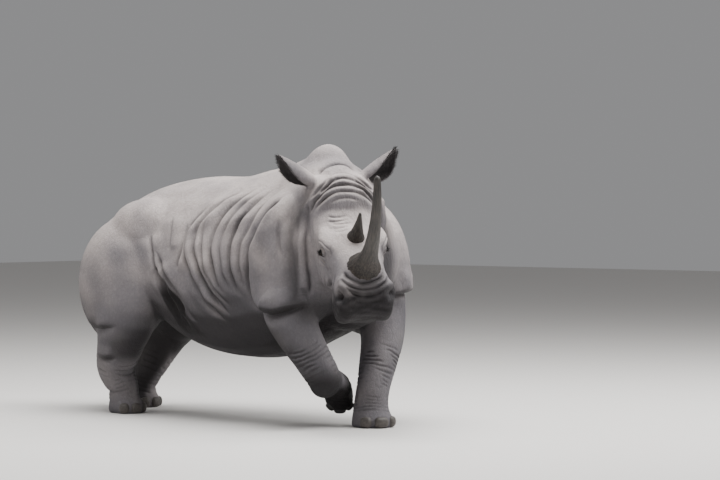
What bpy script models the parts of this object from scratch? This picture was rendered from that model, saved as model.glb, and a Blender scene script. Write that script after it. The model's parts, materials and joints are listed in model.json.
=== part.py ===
"""A white rhinoceros, life size, walking with its right forefoot lifted.

Metres, +X towards the head, +Y to the animal's left, +Z up, and the soles at Z = 0.
The body is blended from muscle masses and tapering limbs, then parted with thin saw cuts.
Horns, ears, eyes and nails are pieces of their own, seated in sockets.
"""
import math

import bmesh
import bpy
import numpy as np
from mathutils import Euler, Matrix, Vector

# ---- driving dimensions -------------------------------------------------------------------
SAW = 0.0004             # width of the cut between two parts of the body
SOCKET_GAP = 0.0005      # room round a piece that is seated in the body
BODY_GRAIN = 0.015       # size of the cells in which the body's forms are blended
FINE_GRAIN = 0.009       # the same for head and feet
BODY_TRIANGLES = 2500
FINE_TRIANGLES = 4500

POLL = Vector((0.950, -0.241, 1.53))                # top of the head, between the ears
HEAD_YAW, HEAD_TILT, HEAD_DROP = -35.0, 3.5, 50.0   # turned to the right, tilted, nose down

FRONT_HORN_LENGTH, FRONT_HORN_BASE = 0.785, 0.101
REAR_HORN_LENGTH, REAR_HORN_BASE = 0.25, 0.066
EAR_LENGTH, EAR_WALL = 0.31, 0.012
EYE_RADIUS = 0.026
EYE_PLACE = Vector((0.485, 0.184, -0.120))          # in the head's frame, for the left eye

HIDE, HORN = (0.25, 0.235, 0.24), (0.075, 0.060, 0.050)       # linear colours
EYE, NAIL = (0.010, 0.007, 0.005), (0.16, 0.145, 0.135)

# ---- tools of the trade -------------------------------------------------------------------
for old in list(bpy.data.objects):
    bpy.data.objects.remove(old)


def turned(yaw=0.0, drop=0.0, tilt=0.0):
    """A frame turned to the left by yaw, tilted about the line of sight, nose dropped."""
    return (Matrix.Rotation(math.radians(yaw), 4, 'Z')
            @ Matrix.Rotation(math.radians(tilt), 4, 'X')
            @ Matrix.Rotation(math.radians(drop), 4, 'Y'))


HEAD = Matrix.Translation(POLL) @ turned(HEAD_YAW, HEAD_DROP, HEAD_TILT)


def smooth_rows(rows, steps):
    """Rows of numbers on the smooth curve through the given rows."""
    rows = np.array(rows, float)
    rows = np.vstack([2 * rows[0] - rows[1], rows, 2 * rows[-1] - rows[-2]])
    curve = []
    for a, b, c, d in zip(rows, rows[1:], rows[2:], rows[3:]):
        for t in np.arange(steps) / steps:
            curve.append(b + 0.5 * t * (c - a + t * (2 * a - 5 * b + 4 * c - d
                                                     + t * (3 * b - a - 3 * c + d))))
    return np.array(curve + [rows[-2]])


def skin_rings(bm, rings):
    """Closes a row of rings of points into one shell."""
    loops = [[bm.verts.new(point) for point in ring] for ring in rings]
    for ring, following in zip(loops, loops[1:]):
        for k in range(len(ring)):
            bm.faces.new((ring[k - 1], ring[k], following[k], following[k - 1]))
    bm.faces.new(loops[0])
    bm.faces.new(loops[-1])
    bmesh.ops.recalc_face_normals(bm, faces=bm.faces[:])


def tube(bm, rows, side=(0, 1, 0), frame=Matrix(), sides=24, steps=4, dome=0.3):
    """A limb. A row is x, y, z, half width, reach above, reach below and, where it is not
    round, how square it is above and below. Above is the side that +X turned by 'side' shows:
    the back of a level limb, the front of a hanging one."""
    rows = smooth_rows([(*row, 2, 2)[:8] for row in rows], steps)
    centres = rows[:, :3]
    along = np.gradient(centres, axis=0)
    along /= np.linalg.norm(along, axis=1)[:, None]
    angles = 2 * np.pi * np.arange(sides) / sides

    def ring(i, scale=1.0, push=0.0):
        half, above, below, square_above, square_below = rows[i, 3:]
        across = np.array(side) - along[i] * (np.array(side) @ along[i])
        across /= np.linalg.norm(across)
        up = np.cross(along[i], across)
        square = np.where(np.sin(angles) > 0, square_above, square_below)
        reach = np.where(np.sin(angles) > 0, above, below)
        x = half * np.sign(np.cos(angles)) * np.abs(np.cos(angles)) ** (2 / square)
        y = reach * np.sign(np.sin(angles)) * np.abs(np.sin(angles)) ** (2 / square)
        depth = push * dome * min(half, (above + below) / 2)
        return centres[i] + scale * (np.outer(x, across) + np.outer(y, up)) + depth * along[i]

    slopes = np.radians([15, 35, 60])
    start = [ring(0, math.sin(a), -math.cos(a)) for a in slopes]
    end = [ring(-1, math.sin(a), math.cos(a)) for a in slopes[::-1]]
    rings = start + [ring(i) for i in range(len(rows))] + end
    skin_rings(bm, [[frame @ Vector(point) for point in points] for points in rings])


def mass(bm, centre, half, turn=(0, 0, 0), frame=Matrix()):
    """A rounded mass of muscle, fat or bone."""
    turn = Euler([math.radians(angle) for angle in turn]).to_matrix().to_4x4()
    shape = frame @ Matrix.Translation(centre) @ turn @ Matrix.Diagonal((*half, 1))
    bmesh.ops.create_uvsphere(bm, u_segments=24, v_segments=12, radius=1, matrix=shape)


def solid(bm, name, hidden=False):
    """Turns a bmesh into an object of the scene; a cutter stays out of sight."""
    bmesh.ops.triangulate(bm, faces=bm.faces[:])
    mesh = bpy.data.meshes.new(name)
    bm.to_mesh(mesh)
    bm.free()
    piece = bpy.data.objects.new(name, mesh)
    bpy.context.scene.collection.objects.link(piece)
    piece.hide_render = hidden
    piece.display_type = 'WIRE' if hidden else 'TEXTURED'
    return piece


def apply(piece, kind, **settings):
    """Gives the piece a modifier and keeps its result as the mesh."""
    modifier = piece.modifiers.new(kind, kind)
    for setting, value in settings.items():
        setattr(modifier, setting, value)
    evaluated = piece.evaluated_get(bpy.context.evaluated_depsgraph_get())
    mesh = bpy.data.meshes.new_from_object(evaluated)
    piece.modifiers.clear()
    piece.data = mesh


def cut(piece, cutter, operation='DIFFERENCE'):
    apply(piece, 'BOOLEAN', object=cutter, operation=operation, solver='EXACT')
    bpy.data.objects.remove(cutter)


def block(centre, size, turn=(0, 0, 0), frame=Matrix()):
    """A plain box that only cuts."""
    bm = bmesh.new()
    turn = Euler([math.radians(angle) for angle in turn]).to_matrix().to_4x4()
    bmesh.ops.create_cube(bm, size=1, matrix=frame @ Matrix.Translation(centre) @ turn
                          @ Matrix.Diagonal((*size, 1)))
    return solid(bm, 'cutter', hidden=True)


def blended(name, grain, rounds, triangles):
    """One closed skin round all the forms, smoothed, with flat soles, in few triangles."""
    bm = bmesh.new()
    for forms in (trunk_forms, neck_forms, tail_forms, head_forms, fore_left_forms,
                  fore_right_forms, hind_left_forms, hind_right_forms):
        forms(bm)
    piece = solid(bm, name)
    apply(piece, 'REMESH', mode='VOXEL', voxel_size=grain)
    apply(piece, 'SMOOTH', factor=0.5, iterations=rounds)
    faces = 2 * len(piece.data.polygons)
    apply(piece, 'DECIMATE', ratio=triangles / faces, use_collapse_triangulate=True)
    cut(piece, block((0, 0, -0.5), (6, 6, 1)))
    return piece


def part_off(body, name, centre, size, turn=(0, 0, 0), frame=Matrix(), finer=None):
    """Saws off what lies in a turned box. A finer copy of the same forms may take its place."""
    piece = (finer or body).copy()
    piece.data = piece.data.copy()
    piece.name = name
    bpy.context.scene.collection.objects.link(piece)
    cut(piece, block(centre, size, turn, frame), 'INTERSECT')
    cut(body, block(centre, [side + 2 * SAW for side in size], turn, frame))
    return piece


def seat(piece, body):
    """Cuts the socket that a seated piece fits, with a hair of room round it."""
    socket = piece.copy()
    socket.data = piece.data.copy()
    bpy.context.scene.collection.objects.link(socket)
    socket.hide_render = True
    apply(socket, 'DISPLACE', strength=SOCKET_GAP, mid_level=0.0)
    cut(body, socket)


# ---- trunk, neck and tail -----------------------------------------------------------------
def trunk_forms(bm):
    """Barrel, rump and flanks: high over the loins, sagging belly, sloping croup."""
    tube(bm, [
        (-1.15, 0.00, 0.96, 0.26, 0.24, 0.22),
        (-1.05, 0.01, 0.98, 0.33, 0.33, 0.30),
        (-0.88, 0.03, 0.99, 0.40, 0.42, 0.36, 1.9, 2.1),
        (-0.64, 0.05, 1.00, 0.44, 0.50, 0.40, 1.8, 2.2),
        (-0.36, 0.06, 0.99, 0.48, 0.55, 0.53, 1.8, 2.2),
        (0.00, 0.05, 0.97, 0.52, 0.57, 0.58, 1.85, 2.2),
        (0.30, 0.04, 0.98, 0.51, 0.61, 0.57, 1.85, 2.2),
        (0.55, 0.01, 1.00, 0.46, 0.60, 0.50, 1.85, 2.1),
        (0.76, -0.02, 1.03, 0.41, 0.54, 0.44, 1.9, 2.0),
        (0.90, -0.05, 1.05, 0.34, 0.42, 0.34),
    ], dome=0.5)
    mass(bm, (0.83, -0.03, 0.80), (0.22, 0.24, 0.21))                       # brisket
    for side in (-1, 1):
        mass(bm, (-0.66, 0.21 * side, 1.21), (0.30, 0.19, 0.19))            # point of the hip
        mass(bm, (-0.85, 0.25 * side, 0.86), (0.37, 0.22, 0.42), (0, 10, 0))     # thigh
    mass(bm, (0.66, -0.30, 1.03), (0.32, 0.21, 0.42), (0, -8, 0))           # shoulders
    mass(bm, (0.69, 0.31, 0.98), (0.32, 0.235, 0.44), (0, -8, 0))


def neck_forms(bm):
    """Short deep neck with the hump that carries the head."""
    tube(bm, [
        (0.45, 0.00, 1.12, 0.34, 0.44, 0.42),
        (0.66, -0.05, 1.24, 0.32, 0.44, 0.42, 1.8, 2),
        (0.83, -0.13, 1.31, 0.30, 0.34, 0.38, 1.9, 2),
        (0.96, -0.21, 1.32, 0.25, 0.24, 0.29),
    ], side=(0.35, 0.93, 0), dome=0.6)
    mass(bm, (0.685, -0.06, 1.40), (0.225, 0.165, 0.335), (0, 12, -15))


def tail_forms(bm):
    """Short whip tail with a flat bristled tip."""
    tube(bm, [
        (-1.08, 0.0, 1.19, 0.075, 0.085, 0.085),
        (-1.26, 0.0, 1.15, 0.055, 0.055, 0.055),
        (-1.365, 0.0, 1.01, 0.038, 0.038, 0.038),
        (-1.385, 0.0, 0.82, 0.030, 0.030, 0.030),
        (-1.385, 0.0, 0.66, 0.034, 0.020, 0.020),
    ], sides=12)


# ---- legs ---------------------------------------------------------------------------------
def toes(bm, frame, spread, reach, size):
    """Three blunt toes round the front of a foot."""
    for turn in (-spread, 0, spread):
        place = frame @ Matrix.Rotation(math.radians(turn), 4, 'Z')
        mass(bm, (reach, 0, TOE_HEIGHT), (size * 0.9, size, 0.058), frame=place)


def fore_left_forms(bm):
    """Planted foreleg, tucked in under the chest."""
    tube(bm, [
        (0.66, 0.32, 1.00, 0.160, 0.240, 0.240),
        (0.78, 0.34, 0.76, 0.150, 0.190, 0.190),
        (0.87, 0.28, 0.56, 0.130, 0.140, 0.150),
        (0.91, 0.18, 0.38, 0.115, 0.120, 0.120),
        (0.925, 0.12, 0.25, 0.104, 0.105, 0.105),
        (0.925, 0.10, 0.13, 0.104, 0.105, 0.115),
        (0.94, 0.095, 0.02, 0.130, 0.120, 0.140),
    ], sides=20)
    toes(bm, **FORE_LEFT_TOES)


def fore_right_forms(bm):
    """Lifted foreleg: forearm swung forwards, foot folded under and inwards at the wrist."""
    tube(bm, [
        (0.58, -0.31, 0.98, 0.160, 0.240, 0.240),
        (0.65, -0.37, 0.78, 0.145, 0.190, 0.190),
        (0.72, -0.37, 0.61, 0.125, 0.150, 0.150),
        (0.80, -0.32, 0.45, 0.110, 0.120, 0.125),
        (0.84, -0.26, 0.33, 0.104, 0.105, 0.115),
        (0.83, -0.22, 0.27, 0.098, 0.090, 0.100),
    ], sides=20, dome=0.8)
    tube(bm, [
        (0.83, -0.23, 0.30, 0.085, 0.085, 0.085),
        (0.778, -0.105, 0.280, 0.084, 0.085, 0.085),
        (0.724, 0.015, 0.235, 0.090, 0.090, 0.095),
        (0.686, 0.078, 0.165, 0.092, 0.086, 0.092),
    ], side=(0.5, 0.85, 0), sides=20, dome=0.4)
    toes(bm, **FORE_RIGHT_TOES)


def hind_forms(bm, hip, stifle, shank, hock, cannon, foot):
    """A hind leg down through its joints. Each is the place of its middle."""
    tube(bm, [
        (*hip, 0.170, 0.300, 0.340),
        (*stifle, 0.155, 0.250, 0.260),
        (*shank, 0.135, 0.175, 0.175),
        (*hock, 0.110, 0.135, 0.150),
        (*cannon, 0.098, 0.100, 0.110),
        (foot[0] - 0.02, foot[1], 0.110, 0.095, 0.100, 0.105),
        (foot[0] - 0.01, foot[1], 0.020, 0.112, 0.110, 0.120),
    ], sides=20)


def hind_right_forms(bm):
    hind_forms(bm, hip=(-0.83, -0.26, 1.00), stifle=(-0.78, -0.31, 0.68),
               shank=(-0.86, -0.28, 0.47), hock=(-0.94, -0.24, 0.30),
               cannon=(-0.90, -0.215, 0.18), foot=HIND_RIGHT_FOOT)
    toes(bm, **HIND_RIGHT_TOES)


def hind_left_forms(bm):
    hind_forms(bm, hip=(-0.82, 0.24, 1.00), stifle=(-0.90, 0.29, 0.68),
               shank=(-1.00, 0.26, 0.48), hock=(-1.07, 0.22, 0.31),
               cannon=(-1.12, 0.20, 0.19), foot=HIND_LEFT_FOOT)
    toes(bm, **HIND_LEFT_TOES)


def foot_frame(place, **turns):
    """Frame of a foot: origin in the middle of its sole, +X to the middle toe."""
    return Matrix.Translation(place) @ turned(**turns)


TOE_HEIGHT = 0.035
HIND_RIGHT_FOOT, HIND_LEFT_FOOT = (-0.875, -0.21), (-1.12, 0.19)
FORE_LEFT_TOES = dict(frame=foot_frame((0.94, 0.095, 0), yaw=-24),
                      spread=48, reach=0.075, size=0.066)
FORE_RIGHT_TOES = dict(frame=foot_frame((0.685, 0.074, 0.175), yaw=-38, drop=86),
                       spread=44, reach=0.052, size=0.054)
HIND_RIGHT_TOES = dict(frame=foot_frame((*HIND_RIGHT_FOOT, 0), yaw=-8),
                       spread=46, reach=0.070, size=0.058)
HIND_LEFT_TOES = dict(frame=foot_frame((*HIND_LEFT_FOOT, 0), yaw=8),
                      spread=46, reach=0.070, size=0.058)


# ---- head ---------------------------------------------------------------------------------
def head_forms(bm):
    """Long head in its own frame: +X down to the lips, +Y left, +Z out of the forehead."""
    tube(bm, [
        (-0.04, 0, -0.13, 0.150, 0.13, 0.13, 2.2, 2.2),
        (0.05, 0, -0.13, 0.200, 0.14, 0.17, 2.4, 2.2),
        (0.16, 0, -0.14, 0.212, 0.13, 0.21, 2.5, 2.2),
        (0.30, 0, -0.15, 0.210, 0.115, 0.21, 2.6, 2.3),
        (0.43, 0, -0.145, 0.195, 0.12, 0.19, 2.5, 2.3),
        (0.55, 0, -0.135, 0.165, 0.13, 0.17, 2.2, 2.3),
        (0.66, 0, -0.13, 0.152, 0.135, 0.155, 2.3, 2.4),
        (0.77, -0.01, -0.145, 0.166, 0.12, 0.14, 3.0, 2.8),
        (0.86, -0.015, -0.17, 0.165, 0.085, 0.12, 3.6, 3.2),
        (0.91, -0.015, -0.18, 0.143, 0.050, 0.09, 3.6, 3.2),
    ], frame=HEAD, dome=0.25)
    mass(bm, (0.02, 0, -0.05), (0.08, 0.15, 0.06), frame=HEAD)              # crest of the poll
    mass(bm, (0.46, 0, -0.06), (0.10, 0.095, 0.065), frame=HEAD)            # rear horn's seat
    mass(bm, (0.69, 0, -0.05), (0.130, 0.120, 0.070), frame=HEAD)           # front horn's seat
    mass(bm, (0.80, 0, -0.295), (0.10, 0.125, 0.045), frame=HEAD)           # chin
    for side in (-1, 1):
        mass(bm, (0.43, 0.155 * side, -0.075), (0.10, 0.055, 0.045), frame=HEAD)    # brow
        mass(bm, (0.38, 0.120 * side, -0.25), (0.29, 0.090, 0.125), frame=HEAD)     # cheek
        mass(bm, (0.80, 0.130 * side, -0.11), (0.070, 0.050, 0.055), frame=HEAD)    # nostril
        mass(bm, (0.03, 0.135 * side, -0.04), (0.065, 0.055, 0.060), frame=HEAD)    # ear root


def horn(name, foot, length, base, tip, boss, curve, lean):
    """Solid horn that sweeps back from the head. Its boss is the share of it that flares."""
    rings = 9
    place, angle = Vector(foot), math.radians(lean)
    rows = []
    for k in range(rings):
        t = k / (rings - 1)
        flare = boss * math.exp(-(t / 0.16) ** 2)
        radius = tip + (base - tip) * (flare + (1 - boss) * (1 - t) ** 1.1)
        rows.append((*place, radius, radius * 1.12, radius * 1.12))
        place = place + Vector((math.sin(angle), 0, math.cos(angle))) * length / rings
        angle -= math.radians(curve) / rings
    bm = bmesh.new()
    tube(bm, rows, frame=HEAD, sides=11, steps=1, dome=0.9)
    return solid(bm, name)


def ear(name, side, opening):
    """Deep pointed cup, rolled shut at its root and open to one side."""
    root = Vector((0.030, 0.125 * side - 0.012, -0.032))
    axis = Vector((-0.115, 0.25 * side, 0.153)).normalized()
    slack = Vector((0.6, 0.6 * side, -0.5))
    out = (Vector(opening) - axis * axis.dot(Vector(opening))).normalized()
    across = axis.cross(out)
    # share of the length, half width, half the angle that is open, and sag
    course = smooth_rows([
        (0.00, 0.034, 30, 0.000), (0.18, 0.050, 42, 0.016), (0.42, 0.074, 66, 0.040),
        (0.66, 0.074, 84, 0.046), (0.86, 0.046, 96, 0.026), (1.00, 0.012, 105, 0.000)], 2)
    spots = 7                      # points along the bend of the wall
    shell = []
    for share, width, gape, sag in course:
        centre = root + axis * EAR_LENGTH * share + slack * sag
        ring = []
        for radius, order in ((width, 1), (width - min(EAR_WALL, 0.7 * width), -1)):
            for j in range(spots)[::order]:
                angle = math.radians(gape + (360 - 2 * gape) * j / (spots - 1))
                spoke = out * math.cos(angle) + across * math.sin(angle)
                ring.append(HEAD @ (centre + spoke * radius))
        shell.append(ring)
    bm = bmesh.new()
    skin_rings(bm, shell)
    return solid(bm, name)


def ball(name, centre, half, frame, sides=8, bands=5):
    """A plain rounded piece of few faces."""
    bm = bmesh.new()
    shape = frame @ Matrix.Translation(centre) @ Matrix.Diagonal((*half, 1))
    bmesh.ops.create_uvsphere(bm, u_segments=sides, v_segments=bands, radius=1, matrix=shape)
    return solid(bm, name)


def eye(name, side):
    return ball(name, EYE_PLACE * Vector((1, side, 1)), [EYE_RADIUS] * 3, HEAD, 10, 7)


def nails(foot, frame, spread, reach, size):
    """Three broad blunt toenails, set in the toes and ending just off the ground."""
    made = []
    for label, turn, width in (('right', -spread, 0.58), ('middle', 0, 0.70),
                               ('left', spread, 0.58)):
        place = frame @ Matrix.Rotation(math.radians(turn), 4, 'Z')
        half = (size * 0.5, size * width, 0.034)
        nail = ball(f'{foot.name}_nail_{label}', (reach + size * 0.55, 0, 0.039), half, place)
        seat(nail, foot)
        made.append(nail)
    return made


# ---- the animal, parted -------------------------------------------------------------------
body = blended('trunk', BODY_GRAIN, 10, BODY_TRIANGLES)
fine = blended('fine', FINE_GRAIN, 14, FINE_TRIANGLES)

head = part_off(body, 'head', (0.53, 0, -0.12), (1.12, 0.80, 0.62), frame=HEAD, finer=fine)
neck = part_off(body, 'neck', (1.15, -0.1, 1.50), (1.0, 1.4, 1.2), (0, -30, 0))
tail = part_off(body, 'tail', (-1.515, 0, 0.92), (0.50, 0.24, 0.90), (0, 12, 0))
fore_foot_right = part_off(body, 'fore_foot_right', (0.565, 0.004, 0.226),
                           (0.49, 0.45, 0.332), (0, 0, 25), finer=fine)
fore_leg_right = part_off(body, 'fore_leg_right', (0.824, -0.485, 0.251), (0.55, 1.0, 0.75),
                          (-34.5, 0, 34))
fore_leg_left = part_off(body, 'fore_leg_left', (0.928, 0.478, 0.252), (0.70, 1.3, 0.80),
                         (19.3, 0, 34))
hind_leg_right = part_off(body, 'hind_leg_right', (-0.87, -0.40, 0.33), (0.85, 0.76, 0.94))
hind_leg_left = part_off(body, 'hind_leg_left', (-0.895, 0.40, 0.33), (0.90, 0.76, 0.94))

fore_foot_left = part_off(fore_leg_left, 'fore_foot_left', (0.995, 0.105, 0.0),
                          (0.40, 0.60, 0.24), (0, 0, 10), finer=fine)
hind_foot_right = part_off(hind_leg_right, 'hind_foot_right', (-0.875, -0.21, 0.0),
                           (0.40, 0.38, 0.24), finer=fine)
hind_foot_left = part_off(hind_leg_left, 'hind_foot_left', (-1.12, 0.19, 0.0),
                          (0.40, 0.38, 0.24), finer=fine)
bpy.data.objects.remove(fine)

horns = [
    horn('horn_front', (0.69, 0, -0.03), FRONT_HORN_LENGTH, FRONT_HORN_BASE, 0.019, 0.55, 66, 12),
    horn('horn_rear', (0.465, 0, -0.04), REAR_HORN_LENGTH, REAR_HORN_BASE, 0.007, 0.20, 28, 4),
]
ears = [ear('ear_left', 1, (0.80, 0.45, -0.05)), ear('ear_right', -1, (0.66, -0.60, -0.35))]
eyes = [eye('eye_left', 1), eye('eye_right', -1)]
for piece in horns + ears + eyes:
    seat(piece, head)
for piece in ears:
    seat(piece, neck)
claws = (nails(fore_foot_left, **FORE_LEFT_TOES) + nails(fore_foot_right, **FORE_RIGHT_TOES)
         + nails(hind_foot_left, **HIND_LEFT_TOES) + nails(hind_foot_right, **HIND_RIGHT_TOES))
flesh = [body, head, neck, tail, fore_leg_right, fore_leg_left, hind_leg_right, hind_leg_left,
         fore_foot_right, fore_foot_left, hind_foot_right, hind_foot_left] + ears


# ---- colours, and the frame ---------------------------------------------------------------
def painted(pieces, name, colour, roughness):
    """Gives each piece a material of its own."""
    for piece in pieces:
        material = bpy.data.materials.new(f'{name}_{piece.name}')
        material.use_nodes = True
        shader = material.node_tree.nodes['Principled BSDF']
        shader.inputs['Base Color'].default_value = (*colour, 1)
        shader.inputs['Roughness'].default_value = roughness
        shader.inputs['Metallic'].default_value = 0
        piece.data.materials.clear()
        piece.data.materials.append(material)


painted(flesh, 'hide', HIDE, 0.75)
painted(horns, 'horn', HORN, 0.55)
painted(eyes, 'eye', EYE, 0.08)
painted(claws, 'nail', NAIL, 0.6)

# Everything hangs on one empty, moved so that the origin lies under the middle of the animal.
animal = bpy.data.objects.new('rhinoceros', None)
bpy.context.scene.collection.objects.link(animal)
pieces = flesh + horns + eyes + claws
points = np.array([vert.co for piece in pieces for vert in piece.data.vertices])
middle = (points.min(axis=0) + points.max(axis=0)) / 2
for piece in pieces:
    piece.parent = animal
animal.location = (-middle[0], -middle[1], 0)
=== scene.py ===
"""A white rhinoceros, life size, walking with its right forefoot lifted: the finished surfaces."""

import json
import math

import bmesh
import bpy
import numpy as np
from mathutils import Euler, Matrix, Vector, kdtree, noise
from mathutils.bvhtree import BVHTree

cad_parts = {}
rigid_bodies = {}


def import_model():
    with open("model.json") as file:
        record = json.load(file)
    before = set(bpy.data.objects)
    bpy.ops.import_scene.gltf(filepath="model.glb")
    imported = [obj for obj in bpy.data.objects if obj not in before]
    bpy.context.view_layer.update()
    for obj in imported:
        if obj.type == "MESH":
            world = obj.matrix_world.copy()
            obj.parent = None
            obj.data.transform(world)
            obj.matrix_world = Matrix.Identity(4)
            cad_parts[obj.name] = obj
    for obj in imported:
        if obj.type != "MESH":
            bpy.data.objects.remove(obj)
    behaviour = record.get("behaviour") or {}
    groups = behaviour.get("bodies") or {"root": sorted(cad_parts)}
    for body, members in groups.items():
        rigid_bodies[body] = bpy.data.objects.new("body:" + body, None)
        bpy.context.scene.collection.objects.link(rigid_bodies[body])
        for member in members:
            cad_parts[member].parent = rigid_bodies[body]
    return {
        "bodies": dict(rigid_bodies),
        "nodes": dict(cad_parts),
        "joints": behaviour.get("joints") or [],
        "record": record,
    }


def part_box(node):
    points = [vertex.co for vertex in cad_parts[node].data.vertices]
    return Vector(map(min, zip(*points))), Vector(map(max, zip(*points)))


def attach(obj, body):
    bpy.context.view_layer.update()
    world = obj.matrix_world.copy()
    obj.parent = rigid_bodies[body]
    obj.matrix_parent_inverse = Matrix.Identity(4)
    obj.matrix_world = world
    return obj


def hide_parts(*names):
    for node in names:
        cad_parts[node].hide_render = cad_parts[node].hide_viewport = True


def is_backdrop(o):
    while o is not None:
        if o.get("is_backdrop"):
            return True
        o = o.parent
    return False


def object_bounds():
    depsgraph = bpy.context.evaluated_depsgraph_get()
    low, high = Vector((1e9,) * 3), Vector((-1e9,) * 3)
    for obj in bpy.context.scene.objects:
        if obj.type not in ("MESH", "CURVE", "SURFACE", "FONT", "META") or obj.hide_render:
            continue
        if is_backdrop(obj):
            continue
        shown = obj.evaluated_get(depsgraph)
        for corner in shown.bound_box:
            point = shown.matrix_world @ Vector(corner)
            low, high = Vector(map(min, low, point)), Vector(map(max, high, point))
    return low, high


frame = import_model()
cad_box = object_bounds()
SCENE = bpy.context.scene

# ===========================================================================================
# Skin: one unbroken hide over trunk, neck, head, ears, tail, legs and feet.
# The real one is a bare grey hide up to 4 cm thick, folded where the body bends and rolled
# round lips, lids and ears. It is blended from the same forms as the solids underneath.
# ===========================================================================================
POLL = Vector((0.950, -0.241, 1.53))                # top of the head, between the ears
HEAD_YAW, HEAD_TILT, HEAD_DROP = -35.0, 3.5, 50.0   # turned to the right, tilted, nose down
EYE_RADIUS = 0.026
EYE_PLACE = 0.485, 0.184, -0.120                    # in the head's frame, for the left eye
EAR_LENGTH, EAR_WALL = 0.31, 0.012
BLEND_GRAIN = 0.009    # cells in which the forms are blended
HIDE_GRAIN = 0.0062    # cells of the hide itself
HIDE_TRIANGLES = 174000        # before the eyes are cut, which adds up to 22000


def turned(yaw=0.0, drop=0.0, tilt=0.0):
    """A frame turned to the left by yaw, tilted about the line of sight, nose dropped."""
    return (Matrix.Rotation(math.radians(yaw), 4, 'Z')
            @ Matrix.Rotation(math.radians(tilt), 4, 'X')
            @ Matrix.Rotation(math.radians(drop), 4, 'Y'))


HEAD = Matrix.Translation(POLL) @ turned(HEAD_YAW, HEAD_DROP, HEAD_TILT)

# The forms are placed in the body's own frame; the model is shifted so that it is centred.
eye_low, eye_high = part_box("eye_left")
SHIFT = (eye_low + eye_high) / 2 - HEAD @ Vector(EYE_PLACE)
SHIFT.z = 0.0


def smooth_rows(rows, steps):
    """Rows of numbers on the smooth curve through the given rows."""
    rows = np.array(rows, float)
    rows = np.vstack([2 * rows[0] - rows[1], rows, 2 * rows[-1] - rows[-2]])
    curve = []
    for a, b, c, d in zip(rows, rows[1:], rows[2:], rows[3:]):
        for t in np.arange(steps) / steps:
            curve.append(b + 0.5 * t * (c - a + t * (2 * a - 5 * b + 4 * c - d
                                                     + t * (3 * b - a - 3 * c + d))))
    return np.array(curve + [rows[-2]])


def skin_rings(bm, rings):
    """Closes a row of rings of points into one shell."""
    loops = [[bm.verts.new(point) for point in ring] for ring in rings]
    for ring, following in zip(loops, loops[1:]):
        for k in range(len(ring)):
            bm.faces.new((ring[k - 1], ring[k], following[k], following[k - 1]))
    bm.faces.new(loops[0])
    bm.faces.new(loops[-1])
    bmesh.ops.recalc_face_normals(bm, faces=bm.faces[:])


def tube(bm, rows, side=(0, 1, 0), frame=Matrix(), sides=24, steps=4, dome=0.3):
    """A limb. A row is x, y, z, half width, reach above, reach below and, where it is not
    round, how square it is above and below."""
    rows = smooth_rows([(*row, 2, 2)[:8] for row in rows], steps)
    centres = rows[:, :3]
    along = np.gradient(centres, axis=0)
    along /= np.linalg.norm(along, axis=1)[:, None]
    angles = 2 * np.pi * np.arange(sides) / sides

    def ring(i, scale=1.0, push=0.0):
        half, above, below, square_above, square_below = rows[i, 3:]
        across = np.array(side) - along[i] * (np.array(side) @ along[i])
        across /= np.linalg.norm(across)
        up = np.cross(along[i], across)
        square = np.where(np.sin(angles) > 0, square_above, square_below)
        reach = np.where(np.sin(angles) > 0, above, below)
        x = half * np.sign(np.cos(angles)) * np.abs(np.cos(angles)) ** (2 / square)
        y = reach * np.sign(np.sin(angles)) * np.abs(np.sin(angles)) ** (2 / square)
        depth = push * dome * min(half, (above + below) / 2)
        return centres[i] + scale * (np.outer(x, across) + np.outer(y, up)) + depth * along[i]

    slopes = np.radians([15, 35, 60])             # rings that dome over each end
    start = [ring(0, math.sin(a), -math.cos(a)) for a in slopes]
    end = [ring(-1, math.sin(a), math.cos(a)) for a in slopes[::-1]]
    rings = start + [ring(i) for i in range(len(rows))] + end
    skin_rings(bm, [[frame @ Vector(point) for point in points] for points in rings])


def mass(bm, centre, half, turn=(0, 0, 0), frame=Matrix()):
    """A rounded mass of muscle, fat or bone."""
    turn = Euler([math.radians(angle) for angle in turn]).to_matrix().to_4x4()
    shape = frame @ Matrix.Translation(centre) @ turn @ Matrix.Diagonal((*half, 1))
    bmesh.ops.create_uvsphere(bm, u_segments=32, v_segments=16, radius=1, matrix=shape)


# ---- trunk, neck and tail -----------------------------------------------------------------
def trunk_forms(bm):
    """Barrel, rump and flanks: high over the loins, sagging belly, sloping croup."""
    tube(bm, [
        (-1.15, 0.00, 0.96, 0.26, 0.24, 0.22),
        (-1.05, 0.01, 0.98, 0.33, 0.33, 0.30),
        (-0.88, 0.03, 0.99, 0.40, 0.42, 0.36, 1.9, 2.1),
        (-0.64, 0.05, 1.00, 0.44, 0.50, 0.40, 1.8, 2.2),
        (-0.36, 0.06, 0.99, 0.48, 0.55, 0.53, 1.8, 2.2),
        (0.00, 0.05, 0.97, 0.52, 0.57, 0.58, 1.85, 2.2),
        (0.30, 0.04, 0.98, 0.51, 0.61, 0.57, 1.85, 2.2),
        (0.55, 0.01, 1.00, 0.46, 0.60, 0.50, 1.85, 2.1),
        (0.76, -0.02, 1.03, 0.41, 0.54, 0.44, 1.9, 2.0),
        (0.90, -0.05, 1.05, 0.34, 0.42, 0.34),
    ], dome=0.5)
    mass(bm, (0.83, -0.03, 0.80), (0.22, 0.24, 0.21))                       # brisket
    for side in (-1, 1):
        mass(bm, (-0.66, 0.21 * side, 1.21), (0.30, 0.19, 0.19))            # point of the hip
        mass(bm, (-0.85, 0.25 * side, 0.86), (0.37, 0.22, 0.42), (0, 10, 0))     # thigh
    mass(bm, (0.66, -0.30, 1.03), (0.32, 0.21, 0.42), (0, -8, 0))           # shoulders
    mass(bm, (0.69, 0.31, 0.98), (0.32, 0.235, 0.44), (0, -8, 0))


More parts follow.
